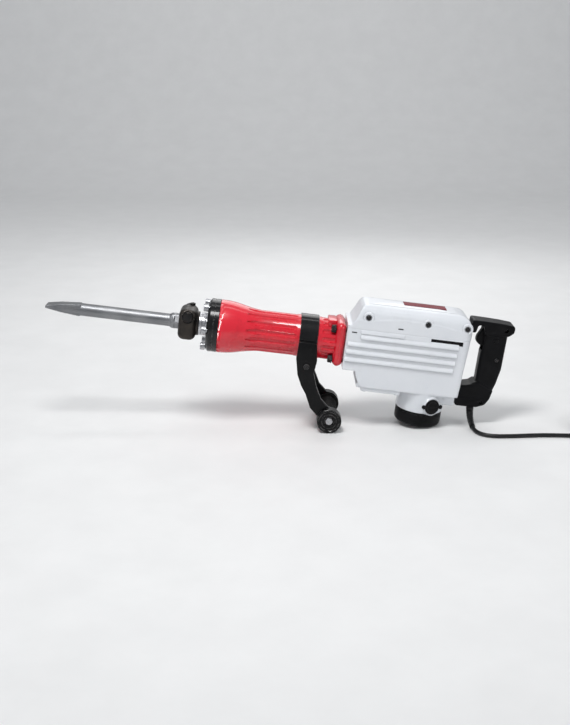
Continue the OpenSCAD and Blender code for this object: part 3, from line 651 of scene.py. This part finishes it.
# The barrel is one iron casting in glossy red enamel: a bell at the front, a fluted
# waist with a smooth seat for the strap, and a square flange bolted to the housing.
bell = [(16 + 84 * k / 14, 44 + 12.5 * (1 + math.cos(math.pi * k / 14)) / 2) for k in range(15)]
barrel = turned("barrel_casting", [(7, 37), (7, 55.4), (8, 56.4), *bell, (170, 44), (173, 45),
    (222, 45), (225, 44), (262, 44), (262, 37), (7, 37)], 192, through=True)
flutes = []
for k in range(16):
    turn = math.radians((k + 0.5) * 22.5)
    spot = (47 * math.cos(turn), 47 * math.sin(turn))
    flutes.append(turned("flute", [(62, 0.8), (80, 5.2), (86, 6), (168, 6), (172, 3.5)], 20,
                         middle=spot))
    flutes.append(turned("flute", [(225, 3.5), (229, 6), (262, 6)], 20, middle=spot))
cut(barrel, joined("flutes", *flutes))
barrel = rounded(barrel, 0.6, 2, 24)
flange = traced("flange", [(-47.8, -47.8), (47.8, -47.8), (47.8, 47.8), (-47.8, 47.8)],
                252, 275, "X")
for line in flange.data.edges:
    a, b = (flange.data.vertices[k].co for k in line.vertices)
    line.select = abs(a.x - b.x) > 10
edit(flange)
bpy.ops.mesh.bevel(offset=13, segments=8)
done()
flange = cut(rounded(flange, 2.2), turned("bore", [(240, 37), (290, 37)], 96))
block_step = rounded(brick("flange_step", (236, -24, 30), (254, 24, 47)), 2, 3)
cut(block_step, turned("bore", [(220, 40), (290, 40)], 96))
flange_bolts_at = [(y, z) for y in (-36, 36) for z in (-33, 33)]
for spot in flange_bolts_at:
    cut(flange, turned("bolt_hole", [(240, 5.4), (290, 5.4)], 32, middle=spot))
barrel = smooth(joined("barrel_casting", barrel, flange, block_step), 35)
red_gloss = finish(
    "red_gloss_enamel", (0.62, 0.008, 0.022), (0.68, 0.012, 0.03), 0.24, coat=0.7,
    coat_rough=0.04, specular=0.35, cloud=12, soil_and_shade=(0.22, 0.006, 0.01), soil_share=0.2,
    soil_rough=0.4, soil_scale=40, beneath=(0.24, 0.07, 0.06), beneath_metal=0.3, worn=0.5,
    worn_width=0.0008, worn_scale=300, ripple=110, grain=1200, share=0.1, bump=0.09)
fit(barrel, red_gloss, "frame", "red_enamel", "barrel")

bolts = []
for spot in flange_bolts_at:
    head = hexagon("flange_bolt", 243, 250, 15)
    head = combine(head, turned("bolt_top", [(243, 6.6), (244.2, 8.6), (250, 8.8)], 48),
                   "INTERSECT")
    head = joined("flange_bolt", head, turned("bolt_washer", [
        (249.9, 8.9), (250.2, 9.4), (251.7, 9.4), (252, 9), (252, 5), (285, 5)], 48))
    head.location = (0, *spot)
    bolts.append(smooth(head))
black_zinc = finish(
    "black_zinc", (0.025, 0.025, 0.027), (0.045, 0.044, 0.045), 0.34, metal=0.9, cloud=60,
    soil_and_shade=(0.13, 0.1, 0.08), soil_share=0.3, soil_scale=200, beneath=(0.4, 0.4, 0.4),
    beneath_metal=1.0, worn=0.8, worn_width=0.0006, bump=0.15)
fit(joined("barrel_bolts", *bolts), black_zinc, "frame", "black_steel", "barrel_flange_bolts")


# The main housing is a die-cast block in white enamel with louvre ribs on both sides, a
# slot for the cooling air, a round motor case below and a lug that carries the handle.
def arc(middle, radius, start, end, count):
    return [(middle[0] + radius * math.cos(math.radians(start + (end - start) * k / count)),
             middle[1] + radius * math.sin(math.radians(start + (end - start) * k / count)))
            for k in range(count + 1)]


def plan(name, x0, x1, half, corner, low, high):
    return traced(name, [
        (x0, -half), *arc((x1 - corner, -half + corner), corner, -90, 0, 8),
        *arc((x1 - corner, half - corner), corner, 0, 90, 8), (x0, half)], low, high, "Z")


motor_x, brush_z, brush_turn = 458, -110, 22
block = traced("housing_block", [
    (275, 42), (275, -50), (303, -50), (306, -62), (313, -77), (321, -84), (529, -84),
    (530, -66), (532, -20), (537, 42)], -51.4, 51.4)
block = combine(block, plan("housing_plan", 250, 537, 51.4, 17, -100, 60), "INTERSECT")
for low, high in (((287, -46, -80), (405, 46, 60)), ((404, -46, 19.9), (502, 46, 60)),
                  ((506, -40, -78), (525, 40, 60))):
    cut(block, brick("chamber", low, high))
case = turned("motor_case", [(-128.3, 51), (-60, 51)], 96, middle=(motor_x, 0), axis="Z")
lug = brick("rear_lug", (motor_x, -26, -110), (528, 26, -82))
shelf = brick("lower_shelf", (310, -49, -86), (500, 49, -78))
boss = []
for side in (0, 180):
    turn = math.radians(brush_turn + side)
    rim = turned("brush_rim", [(36, 20), (54.6, 20)], 64, axis="Y")
    rim.rotation_euler = (0, 0, turn + math.pi)
    rim.location = (motor_x, 0, brush_z)
    boss.append(rim)
boss = joined("brush_rims", *boss)
only(boss)
bpy.ops.object.transform_apply(location=True, rotation=True, scale=True)
cut(boss, turned("tail_room", [(-165, 50.4), (-128.3, 50.4)], 96, middle=(motor_x, 0), axis="Z"))
for part in (case, lug, shelf, boss):
    block = combine(block, part, "UNION")
cut(block, turned("motor_bore", [(-140, 47), (60, 47)], 96, middle=(motor_x, 0), axis="Z"))
cut(block, turned("spigot_bore", [(260, 38.5), (292, 38.5)], 96))
for spot in flange_bolts_at:
    cut(block, turned("bolt_hole", [(270, 5.4), (286, 5.4)], 24, middle=spot))
for side in (0, 180):
    turn = math.radians(brush_turn + side)
    for low, wide in ((30, 13.4), (51.2, 17.3)):
        pocket = turned("brush_pocket", [(low, wide), (64, wide)], 64, axis="Y")
        placed(pocket, (0, 0, turn + math.pi), (motor_x, 0, brush_z))
        cut(block, pocket)
block = cast(block, 1.9, 7)
for side in (-1, 1):
    cut(block, brick("air_slot", (452, side * 49 - 6, 30), (520, side * 49 + 6, 39.5)))
    cut(block, brick("small_slot", (285, side * 50 - 2, 32.5), (296, side * 50 + 2, 35.3)))
smooth(block, 40)
ribs = []
for side in (-1, 1):
    for top, x0, x1, proud in ((30, 305, 512, 3.8), (13, 279, 511, 3.8), (-4, 278, 510, 3.8),
                               (-21, 277, 508, 3.8), (41, 304, 396, 1.8)):
        rib = traced("louvre", [
            (49.5 * side, top + 3), (51 * side, top + 1), ((50.9 + proud) * side, top - 5),
            ((51.2 + proud) * side, top - 7.5), ((50.6 + proud) * side, top - 9),
            (49.5 * side, top - 9.6)], x0, x1, "X")
        ribs.append(smooth(rounded(rib, 0.9, 2, 20), 40))
block = joined("housing_casting", block, *ribs)
# Black sheets set just behind the slots, with thin black fins across the air slot, paint the shade
# that lies inside the slots.
shade_sheets = []
for side in (-1, 1):
    for x0, x1, z0, z1 in ((451, 521, 29.5, 40), (284.5, 296.5, 32, 36), (379.5, 391.5, 50, 54)):
        low, high = sorted((side * 46.3, side * 48.6))
        shade_sheets.append(brick("slot_shade_sheet", (x0, low, z0), (x1, high, z1)))
    for x in range(459, 520, 8):
        low, high = sorted((side * 47.5, side * 49.6))
        shade_sheets.append(brick("slot_fin", (x, low, 30), (x + 1.4, high, 39.6)))
slot_shade_black = finish(
    "slot_shade_sheet_black", (0.006, 0.006, 0.007), (0.011, 0.011, 0.012), 0.7, cloud=60,
    soil_and_shade=(0.05, 0.048, 0.045), soil_share=0.2, soil_scale=150, bump=0.2, specular=0.2)
fit(joined("slot_shade_sheets", *shade_sheets), slot_shade_black, "frame", "black_plastic")
# The white enamel takes painted shade in its hollows, darkest under the louvre ribs; its soil
# colour serves both the dirt patches and that shade.
white_enamel = finish(
    "white_enamel", (0.74, 0.76, 0.79), (0.70, 0.725, 0.76), 0.3, coat=0.5, coat_rough=0.12,
    cloud=10, soil_and_shade=(0.36, 0.37, 0.40), soil_share=0.16, soil_rough=0.5, soil_scale=22,
    soil_cut=(0.55, 0.75), beneath=(0.45, 0.46, 0.48), beneath_metal=0.4, worn=0.35,
    worn_width=0.0007, worn_scale=260, ripple=420, grain=2400, share=0.3, bump=0.12,
    painted_shade=0.85)
fit(block, white_enamel, "frame", "white_enamel", "main_housing")


# The top cover is a second white casting with a crowned roof. Above a soft S-shaped
# crease its walls lean inwards, and six screws sit in round bosses along the sides.
screw_places = (316, 441, 524)
cover = traced("cover_side", [
    (275.2, 40.6), (275.2, 49.5), (284, 50), (291, 62), (301, 86), (306, 91.5), (316, 94.4),
    (350, 95.9), (405, 96.4), (460, 95.9), (500, 94.4), (516, 91.8), (527, 85), (534, 73),
    (537.6, 57), (537.2, 40.6)], -60, 60)
cover = combine(cover, traced("cover_section", [
    (-51.4, 30), (-51.4, 78), (-49.8, 85), (-45, 91), (-40, 92.9), (-20, 95.6), (0, 96.4),
    (20, 95.6), (40, 92.9), (45, 91), (49.8, 85), (51.4, 78), (51.4, 30)], 250, 560, "X"),
    "INTERSECT")
cover = combine(cover, plan("cover_plan", 250, 537.8, 51.4, 17, 0, 120), "INTERSECT")
room = traced("cover_room", [(295, 20), (295, 54), (308, 80), (316, 89), (512, 89), (527, 76),
                             (530, 20)], -46.5, 46.5)
room = combine(room, traced("room_section", [
    (-46.2, 0), (-46.2, 68), (-44.6, 77), (-40, 85), (-34, 88.5), (34, 88.5), (40, 85),
    (44.6, 77), (46.2, 68), (46.2, 0)], 250, 560, "X"), "INTERSECT")
for x in screw_places:
    for side in (-1, 1):
        cut(room, brick("pillar", (x - 6, side * 41.5 - 6.5, 58), (x + 6, side * 41.5 + 6.5, 78)))
cut(cover, room)
cover = cast(cover, 1.7, 7)


def gentle(a, low, high):
    a = max(0.0, min(1.0, (a - low) / (high - low)))
    return a * a * (3 - 2 * a)


for v in cover.data.vertices:
    crease = 62 + 9 * gentle(v.co.x, 300, 390) - 9 * gentle(v.co.x, 430, 535)
    if abs(v.co.y) > 30:
        v.co.y *= 1 - 0.1 * gentle(v.co.z - crease, -1.5, 30) - 0.018 * gentle(
            v.co.z - crease, -1.2, 1.2)
bosses, wells = [], []
for x in screw_places:
    for side in (-1, 1):
        bosses.append(smooth(turned("screw_boss", [
            (side * 44, 12.5), (side * 50.4, 11.5), (side * 51.2, 10.6), (side * 51.2, 7.4),
            (side * 50.6, 6.8), (side * 47.6, 6.6)], 48, middle=(x, 68), axis="Y"), 40))
        wells.append(turned("screw_well", [(side * 47.5, 6.6), (side * 56, 6.6)], 40,
                            middle=(x, 68), axis="Y"))
cut(cover, joined("screw_wells", *wells))
for side in (-1, 1):
    cut(cover, brick("small_slot", (380, side * 50 - 3, 50.6), (391, side * 50 + 3, 53.4)))
smooth(cover, 40)
cover = joined("top_cover_casting", cover, *bosses)
fit(cover, white_enamel, "frame", "white_enamel", "top_cover")

screws = []
for x in screw_places:
    for side in (-1, 1):
        head = turned("cover_screw", [
            (side * 36, 2.4), (side * 47.6, 2.4), (side * 47.6, 4.9), (side * 50.2, 4.9),
            (side * 50.6, 4.4)], 32, middle=(x, 68), axis="Y")
        screws.append(smooth(head))
fit(joined("top_cover_screws_set", *screws), black_zinc, "frame", "black_steel",
    "top_cover_screws")


# The bottom cover is a white plate that shows as a ledge under the block, and the plate
# on the roof is a blank dark red strip let into the crown.
ledge = rounded(brick("bottom_plate", (321, -48.6, -92.8), (404.8, 48.6, -84.2)), 2, 3)
pads = [smooth(turned("plate_screw", [(-84.5, 4.6), (-94.2, 4.6), (-94.8, 4)], 32,
                      middle=(x, y), axis="Z")) for x in (329, 397) for y in (-40, 40)]
fit(smooth(joined("bottom_plate_casting", ledge, *pads)), white_enamel, "frame",
    "white_enamel", "bottom_cover")
strip = traced("roof_strip", [
    (390, -14.6), (480, -14.6), (480, 14.6), (390, 14.6)], 93.5, 97.1, "Z")
only(strip)
edit()
bpy.ops.mesh.select_all(action="SELECT")
bpy.ops.mesh.subdivide(number_cuts=12)
done()
for v in strip.data.vertices:
    v.co.z -= 0.0014 * (abs(v.co.x - 435) / 10) ** 2 + 0.0011 * abs(v.co.y) ** 2 - 0.05
dark_red = finish(
    "dark_red_plate", (0.15, 0.008, 0.018), (0.19, 0.014, 0.024), 0.42, specular=0.15, cloud=30,
    soil_and_shade=(0.3, 0.2, 0.2), soil_share=0.1, soil_scale=120, beneath=(0.5, 0.45, 0.45),
    worn=0.7, worn_width=0.0008, bump=0.1)
fit(smooth(strip, 40), dark_red, "frame", "dark_red_plate", "roof_plate")


# The tail cover is a black moulded cup with a rounded foot, a groove under its lip and
# cooling slots beneath. Two slotted caps with ears close the brush holders.
foot = turned("tail_cup", [
    (-128.2, 49.6), (-130.6, 50), (-131.2, 49.2), (-132.6, 49.2), (-133.2, 50), (-152, 50),
    (-155.5, 49), (-158, 46.8), (-158.9, 44), (-159, 41), (-159, 13), (-156, 12.4),
    (-156, 8)], 96, middle=(motor_x, 0), axis="Z")
cut(foot, turned("cup_room", [(-152, 43), (-120, 43)], 96, middle=(motor_x, 0), axis="Z"))
for turn in range(30, 390, 30):
    slot = rounded(brick("foot_slot", (24, -2.4, -170), (38, 2.4, -150)), 2, 2)
    slot.rotation_euler = (0, 0, math.radians(turn))
    slot.location = (motor_x, 0, 0)
    cut(foot, slot)
moulded_black = finish(
    "moulded_black", (0.004, 0.004, 0.0045), (0.008, 0.008, 0.009), 0.36, cloud=26,
    specular=0.1, soil_and_shade=(0.1, 0.097, 0.092), soil_share=0.04, soil_rough=0.75, soil_scale=60,
    beneath=(0.07, 0.07, 0.072), worn=0.6, worn_width=0.0012, ripple=600, grain=3200,
    share=0.65, bump=0.22)
fit(smooth(foot, 35), moulded_black, "frame", "black_plastic", "tail_cover")

caps = []
for side in (0, 180):
    cap = turned("brush_cap", [
        (48.4, 12.6), (51.4, 12.8), (51.5, 15.8), (52, 16.4), (54.9, 16.4), (55.9, 15.2),
        (55.9, 12), (54.9, 11), (54.9, 2)], 64, axis="Y")
    cut(cap, brick("cap_slot", (-9.5, 53.2, -1.3), (9.5, 60, 1.3)))
    ears = [smooth(turned("ear", [(51.3, 4.2), (51.5, 4.5), (54.9, 4.5), (55.5, 3.8),
                                  (55.5, 1.6), (54.8, 1.4)], 32, middle=(s * 20, 0), axis="Y"))
            for s in (-1, 1)]
    web = rounded(brick("ear_web", (-20, 51.6, -2.5), (20, 54.6, 2.5)), 0.6, 2)
    cap = joined("brush_cap", smooth(cap), *ears, web)
    turn = math.radians(brush_turn + side) + math.pi
    caps.append(placed(cap, (0, 0, turn), (motor_x, 0, brush_z)))
fit(joined("brush_cap_pair", *caps), moulded_black, "frame", "black_plastic", "brush_caps")


# The rear handle is a D-shaped grip moulded in two black halves that meet on the middle
# line. Its arms are wider than the grip, with soft edges and a bracket notch at the root.
def handle_solid():
    top = rounded(traced("handle_top", [
        (538.4, 83.6), (560, 83.4), (600, 82), (626, 79.6), (630.4, 77), (629.8, 64),
        (619, 55), (566, 54), (566.4, 66), (562, 73), (552, 73), (549, 56), (538.4, 56)],
        -23.6, 23.6), 3.2, 3)
    grip = rounded(traced("handle_grip", [
        (567, 66), (619.4, 66), (619, -20), (613, -54), (604, -84), (564, -84), (567.6, -52),
        (567.6, 16), (569, 30)], -17.3, 17.3), 8.5, 5)
    low = rounded(traced("handle_low", [
        (530.7, -62.4), (546, -61.2), (558, -58), (566, -51), (574, -52), (608, -66),
        (603, -88), (595, -101.6), (577, -108.6), (530.7, -109.6)], -23.6, 23.6), 4, 3)
    bead = rounded(traced("handle_bead", [
        (534, -88), (600, -88), (599, -92), (534, -92)], -24.6, 24.6), 1.6, 2)
    grip = combine(grip, top, "UNION")
    grip = combine(grip, low, "UNION")
    return combine(grip, bead, "UNION")


handle = handle_solid()
for low, high in (((560, -11, 16), (611, 11, 66)), ((545, -9, 24), (582, 9, 72)),
                  ((572, -11, -100), (598, 11, 20))):
    cut(handle, brick("handle_room", low, high))
cut(handle, turned("cord_hole", [(-116, 9.6), (-96, 9.6)], 40, middle=(569, 0), axis="Z"))
handle = cast(handle, 1.5, 7)
handle_screws_at, button_at = ((612, 68), (604, 0), (585, -96)), (595, 42)
for spot in handle_screws_at:
    cut(handle, turned("screw_well", [(-40, 4.6), (-14.8, 4.6)], 32, middle=spot, axis="Y"))
cut(handle, turned("button_well", [(-40, 5.6), (-11, 5.6)], 40, middle=button_at, axis="Y"))
moulded_grip = finish(
    "moulded_grip_black", (0.0035, 0.0035, 0.004), (0.007, 0.007, 0.008), 0.32, cloud=22,
    specular=0.1, soil_and_shade=(0.08, 0.078, 0.074), soil_share=0.03, soil_rough=0.7, soil_scale=50,
    beneath=(0.06, 0.06, 0.062), worn=0.6, worn_width=0.0014, ripple=500, grain=2800,
    share=0.6, bump=0.22)
for side, name, keep in ((-1, "handle_left", (True, False)), (1, "handle_right", (False, True))):
    only(handle)
    bpy.ops.object.duplicate()
    half = bpy.context.object
    half.name = name + "_moulding"
    edit(half)
    bpy.ops.mesh.select_all(action="SELECT")
    bpy.ops.mesh.bisect(plane_co=(580, side * 0.12, 0), plane_no=(0, 1, 0), use_fill=True,
                        clear_outer=keep[0], clear_inner=keep[1])
    done()
    fit(smooth(half, 38), moulded_grip, "frame", "handle_plastic", name)
bpy.data.objects.remove(handle)

screws = []
for x, z in handle_screws_at:
    head = turned("handle_screw", [
        (12, 2.2), (-14.6, 2.2), (-14.7, 3.8), (-17, 4.1), (-17.7, 3.4), (-18.1, 1.4)], 32,
        middle=(x, z), axis="Y")
    for turn in (45, 135):
        cross = brick("driver_slot", (-3, -20, -0.55), (3, -16.6, 0.55))
        cross.rotation_euler = (0, math.radians(turn), 0)
        cross.location = (x, 0, z)
        cut(head, cross)
    screws.append(smooth(head))
fit(joined("handle_screw_set", *screws), black_zinc, "frame", "zinc_bolts", "handle_screws")

lever = cast(rounded(traced("trigger_lever", [
    (566, 67), (561, 58), (555.4, 46), (554.2, 39), (556.4, 33.4), (563, 28), (570, 26.4),
    (572.6, 31), (572.6, 67)], -8.4, 8.4), 2, 3), 1.0, 4)
fit(lever, moulded_black, "trigger", "handle_plastic", "trigger")
button = turned("lock_button_cap", [
    (-14.3, 4.8), (-18.6, 4.8), (-19.2, 4.3), (-19.5, 3.2), (-19.2, 1.2)], 40,
    middle=button_at, axis="Y")
fit(smooth(button), moulded_black, "lock", "handle_plastic", "lock_button")


# The side handle turns round the barrel: a steel strap with a clamp seam, two bent flat
# arms in chipped black paint that end in round discs, and a ribbed rubber grip between.
band = turned("strap_band", [
    (178.2, 45.2), (178.2, 47.8), (178.9, 48.4), (216.1, 48.4), (216.8, 47.8), (216.8, 45.2),
    (178.2, 45.2)], 128, through=True)
ears = []
for side in (-1, 1):
    low, high = sorted((side * 45.4, side * 48.6))
    ears.append(rounded(traced("strap_ear", [
        (180.5, 2), (180.5, -54), *arc((197.5, -46), 17, 208, 332, 8), (214.5, -54), (214.5, 2)],
        low, high), 0.8, 2))
strap = combine(band, ears[0], "UNION")
strap = combine(strap, ears[1], "UNION")
strap_screw_at = (200, -50)
fit(smooth(strap, 30), black_gloss, "side_handle", "black_enamel", "side_strap")

disc_x, disc_z = 262.5, -161.868
arms = []
for side in (-1, 1):
    low, high = sorted((side * 49.1, side * 60.8))
    arm = rounded(traced("arm_bar", [
        (178.8, 2), (176.6, -36), (183.5, -70), (194, -93), (206, -111), (219, -140),
        (237.5, disc_z + 4), (262.5, disc_z - 20), (282.5, disc_z + 14), (259, -135),
        (240, -118), (227, -92), (217.5, -64), (220.8, -36), (216.2, 2)], low, high), 2.4, 3)
    steps = [(side * 49.1, 26.2), (side * 70.6, 26.2), (side * 72, 24.8), (side * 72, 22),
             (side * 71, 21), (side * 71, 16), (side * 71.8, 15), (side * 71.8, 10),
             (side * 66.2, 9.4), (side * 66.2, 5.2), (side * 49.1, 5.2), (side * 49.1, 26.2)]
    disc = turned("arm_disc", steps, 96, through=True, middle=(disc_x, disc_z), axis="Y")
    cut(arm, turned("disc_room", [(-80, 24), (80, 24)], 64, middle=(disc_x, disc_z), axis="Y"))
    arm = combine(arm, disc, "UNION")
    hole = turned("bolt_hole", [(-80, 5.3), (80, 5.3)], 32, middle=strap_screw_at, axis="Y")
    arms.append(cut(arm, hole))
chipped_black = finish(
    "chipped_black_paint", (0.002, 0.002, 0.0025), (0.004, 0.004, 0.0045), 0.3, coat=0.12,
    coat_rough=0.1, specular=0.12, cloud=18, soil_and_shade=(0.13, 0.12, 0.11), soil_share=0.04,
    soil_scale=110, soil_cut=(0.56, 0.66), beneath=(0.42, 0.41, 0.4), beneath_metal=1.0, worn=1.0,
    worn_width=0.0013, worn_scale=140, ripple=240, bump=0.18)
fit(smooth(joined("side_arm_pair", *arms), 30), chipped_black, "side_handle",
    "side_arm_black", "side_arms")

grip_steps = [(-48.7, 23), (-48.2, 23.8), (-44.6, 23.8), (-43.9, 23), (-43.6, 20.4)]
for k in range(21):
    place = -41 + 4.1 * k
    grip_steps += [(place - 1.4, 19.9), (place - 0.9, 19.3), (place + 0.9, 19.3),
                   (place + 1.4, 19.9)]
grip_steps += [(43.6, 20.4), (43.9, 23), (44.6, 23.8), (48.2, 23.8), (48.7, 23)]
grip = turned("grip_sleeve", [(-48.7, 5.3), *grip_steps, (48.7, 5.3), (-48.7, 5.3)], 64,
              through=True, middle=(disc_x, disc_z), axis="Y")
grip_rubber = finish(
    "grip_rubber", (0.005, 0.005, 0.005), (0.01, 0.01, 0.01), 0.5, cloud=40,
    soil_and_shade=(0.09, 0.085, 0.08), soil_share=0.2, soil_rough=0.85, soil_scale=90, ripple=700,
    grain=3500, share=0.7, bump=0.3, specular=0.1)
fit(smooth(grip, 30), grip_rubber, "side_handle", "grip_rubber", "side_grip")

rod = turned("grip_rod", [(-67, 4.9), (67, 4.9)], 48, middle=(disc_x, disc_z), axis="Y")
nuts = []
for side in (-1, 1):
    low, high = sorted((side * 66.3, side * 71.7))
    nut = hexagon("rod_nut", low, high, 14, axis="Z")
    placed(nut, (-math.pi / 2, 0, 0), (disc_x, 0, disc_z))
    round_off = turned("nut_turning", [(side * 66.3, 8.2), (side * 70.6, 8.2),
                                       (side * 71.7, 6.8)], 48, middle=(disc_x, disc_z), axis="Y")
    nuts.append(combine(nut, round_off, "INTERSECT"))
fit(smooth(joined("grip_rod_and_nuts", rod, *nuts)), zinc, "side_handle", "zinc_bolts",
    "side_grip_rod")

pins = []
for side in (-1, 1):
    head = turned("strap_screw", [
        (side * 45.6, 4.9), (side * 61, 4.9), (side * 61, 6.4), (side * 63.2, 6.2),
        (side * 63.9, 5.2)], 40, middle=strap_screw_at, axis="Y")
    low, high = sorted((side * 62.6, side * 66))
    slot = brick("screw_slot", (194, low, -50.7), (206, high, -49.3))
    pins.append(smooth(cut(head, slot)))
fit(joined("strap_screw_pair", *pins), black_zinc, "side_handle", "zinc_bolts", "side_screws")


# The plug is one rubber moulding with two nickel pins, and a nylon strap keeps the
# stored turns together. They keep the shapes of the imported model, as the works inside do.
def dress(material, *names):
    for name in names:
        made = frame["nodes"][name].data
        made.materials.clear()
        made.materials.append(material)


plug_rubber = finish(
    "plug_rubber", (0.013, 0.013, 0.014), (0.021, 0.021, 0.022), 0.45, cloud=40,
    soil_and_shade=(0.08, 0.076, 0.072), soil_share=0.25, soil_scale=110, ripple=500, grain=2600,
    share=0.6, bump=0.25)
nickel = finish(
    "nickel_plate", (0.62, 0.60, 0.56), (0.7, 0.68, 0.64), 0.18, metal=1.0, cloud=80,
    soil_and_shade=(0.3, 0.27, 0.23), soil_share=0.25, soil_scale=260, bump=0.08)
dress(plug_rubber, "plug_body", "cord_tie")
dress(nickel, "plug_pins")


# Inside, oiled and ground steel runs in cast aluminium. The motor has stacked iron
# sheets, a copper commutator with carbon brushes, and a moulded fan and switch.
oiled_steel = finish(
    "oiled_steel", (0.42, 0.42, 0.43), (0.5, 0.5, 0.5), 0.2, metal=1.0, coat=0.3, cloud=35,
    soil_and_shade=(0.12, 0.08, 0.035), soil_share=0.5, soil_rough=0.3, soil_scale=70,
    beneath=(0.66, 0.66, 0.66), beneath_metal=1.0, worn_width=0.0006, ripple=160, grain=2200,
    share=0.8, bump=0.12)
cast_aluminium = finish(
    "cast_aluminium", (0.56, 0.57, 0.58), (0.48, 0.49, 0.5), 0.46, metal=0.9, cloud=30,
    soil_and_shade=(0.2, 0.16, 0.11), soil_share=0.35, soil_scale=60, beneath=(0.72, 0.72, 0.73),
    beneath_metal=1.0, ripple=500, grain=1500, share=0.6, bump=0.35)
seal_rubber = finish(
    "seal_rubber", (0.02, 0.02, 0.02), (0.032, 0.031, 0.03), 0.5, cloud=50,
    soil_and_shade=(0.07, 0.05, 0.03), soil_share=0.4, soil_rough=0.35, soil_scale=90, grain=2600,
    bump=0.2)
stacked_iron = finish(
    "stacked_iron", (0.16, 0.13, 0.11), (0.22, 0.17, 0.13), 0.48, metal=0.7, cloud=30,
    soil_and_shade=(0.3, 0.12, 0.05), soil_share=0.3, soil_scale=70, ripple=60, grain=900, share=0.8,
    stretch=8, bump=0.4)
copper = finish(
    "commutator_copper", (0.62, 0.26, 0.13), (0.5, 0.2, 0.1), 0.26, metal=1.0, cloud=40,
    soil_and_shade=(0.05, 0.035, 0.03), soil_share=0.5, soil_scale=80, ripple=300, grain=2400, bump=0.15)
carbon = finish(
    "brush_carbon", (0.03, 0.03, 0.032), (0.05, 0.05, 0.052), 0.6, metal=0.2, cloud=120,
    soil_and_shade=(0.09, 0.09, 0.09), soil_share=0.3, soil_scale=300, grain=4000, bump=0.3)
dress(oiled_steel, "hammer_guide", "second_hammer", "striker", "cylinder", "wrist_pin",
      "connecting_rod", "big_end_bearing", "crankshaft", "crank_gear", "countershaft",
      "first_gear", "bearings", "armature_shaft")
dress(cast_aluminium, "piston", "bearing_plate")
dress(seal_rubber, "front_seal", "impact_damper", "piston_ring")
dress(stacked_iron, "armature_core", "stator")
dress(copper, "commutator")
dress(carbon, "carbon_brushes")
dress(moulded_black, "fan", "brush_holders", "switch_body")
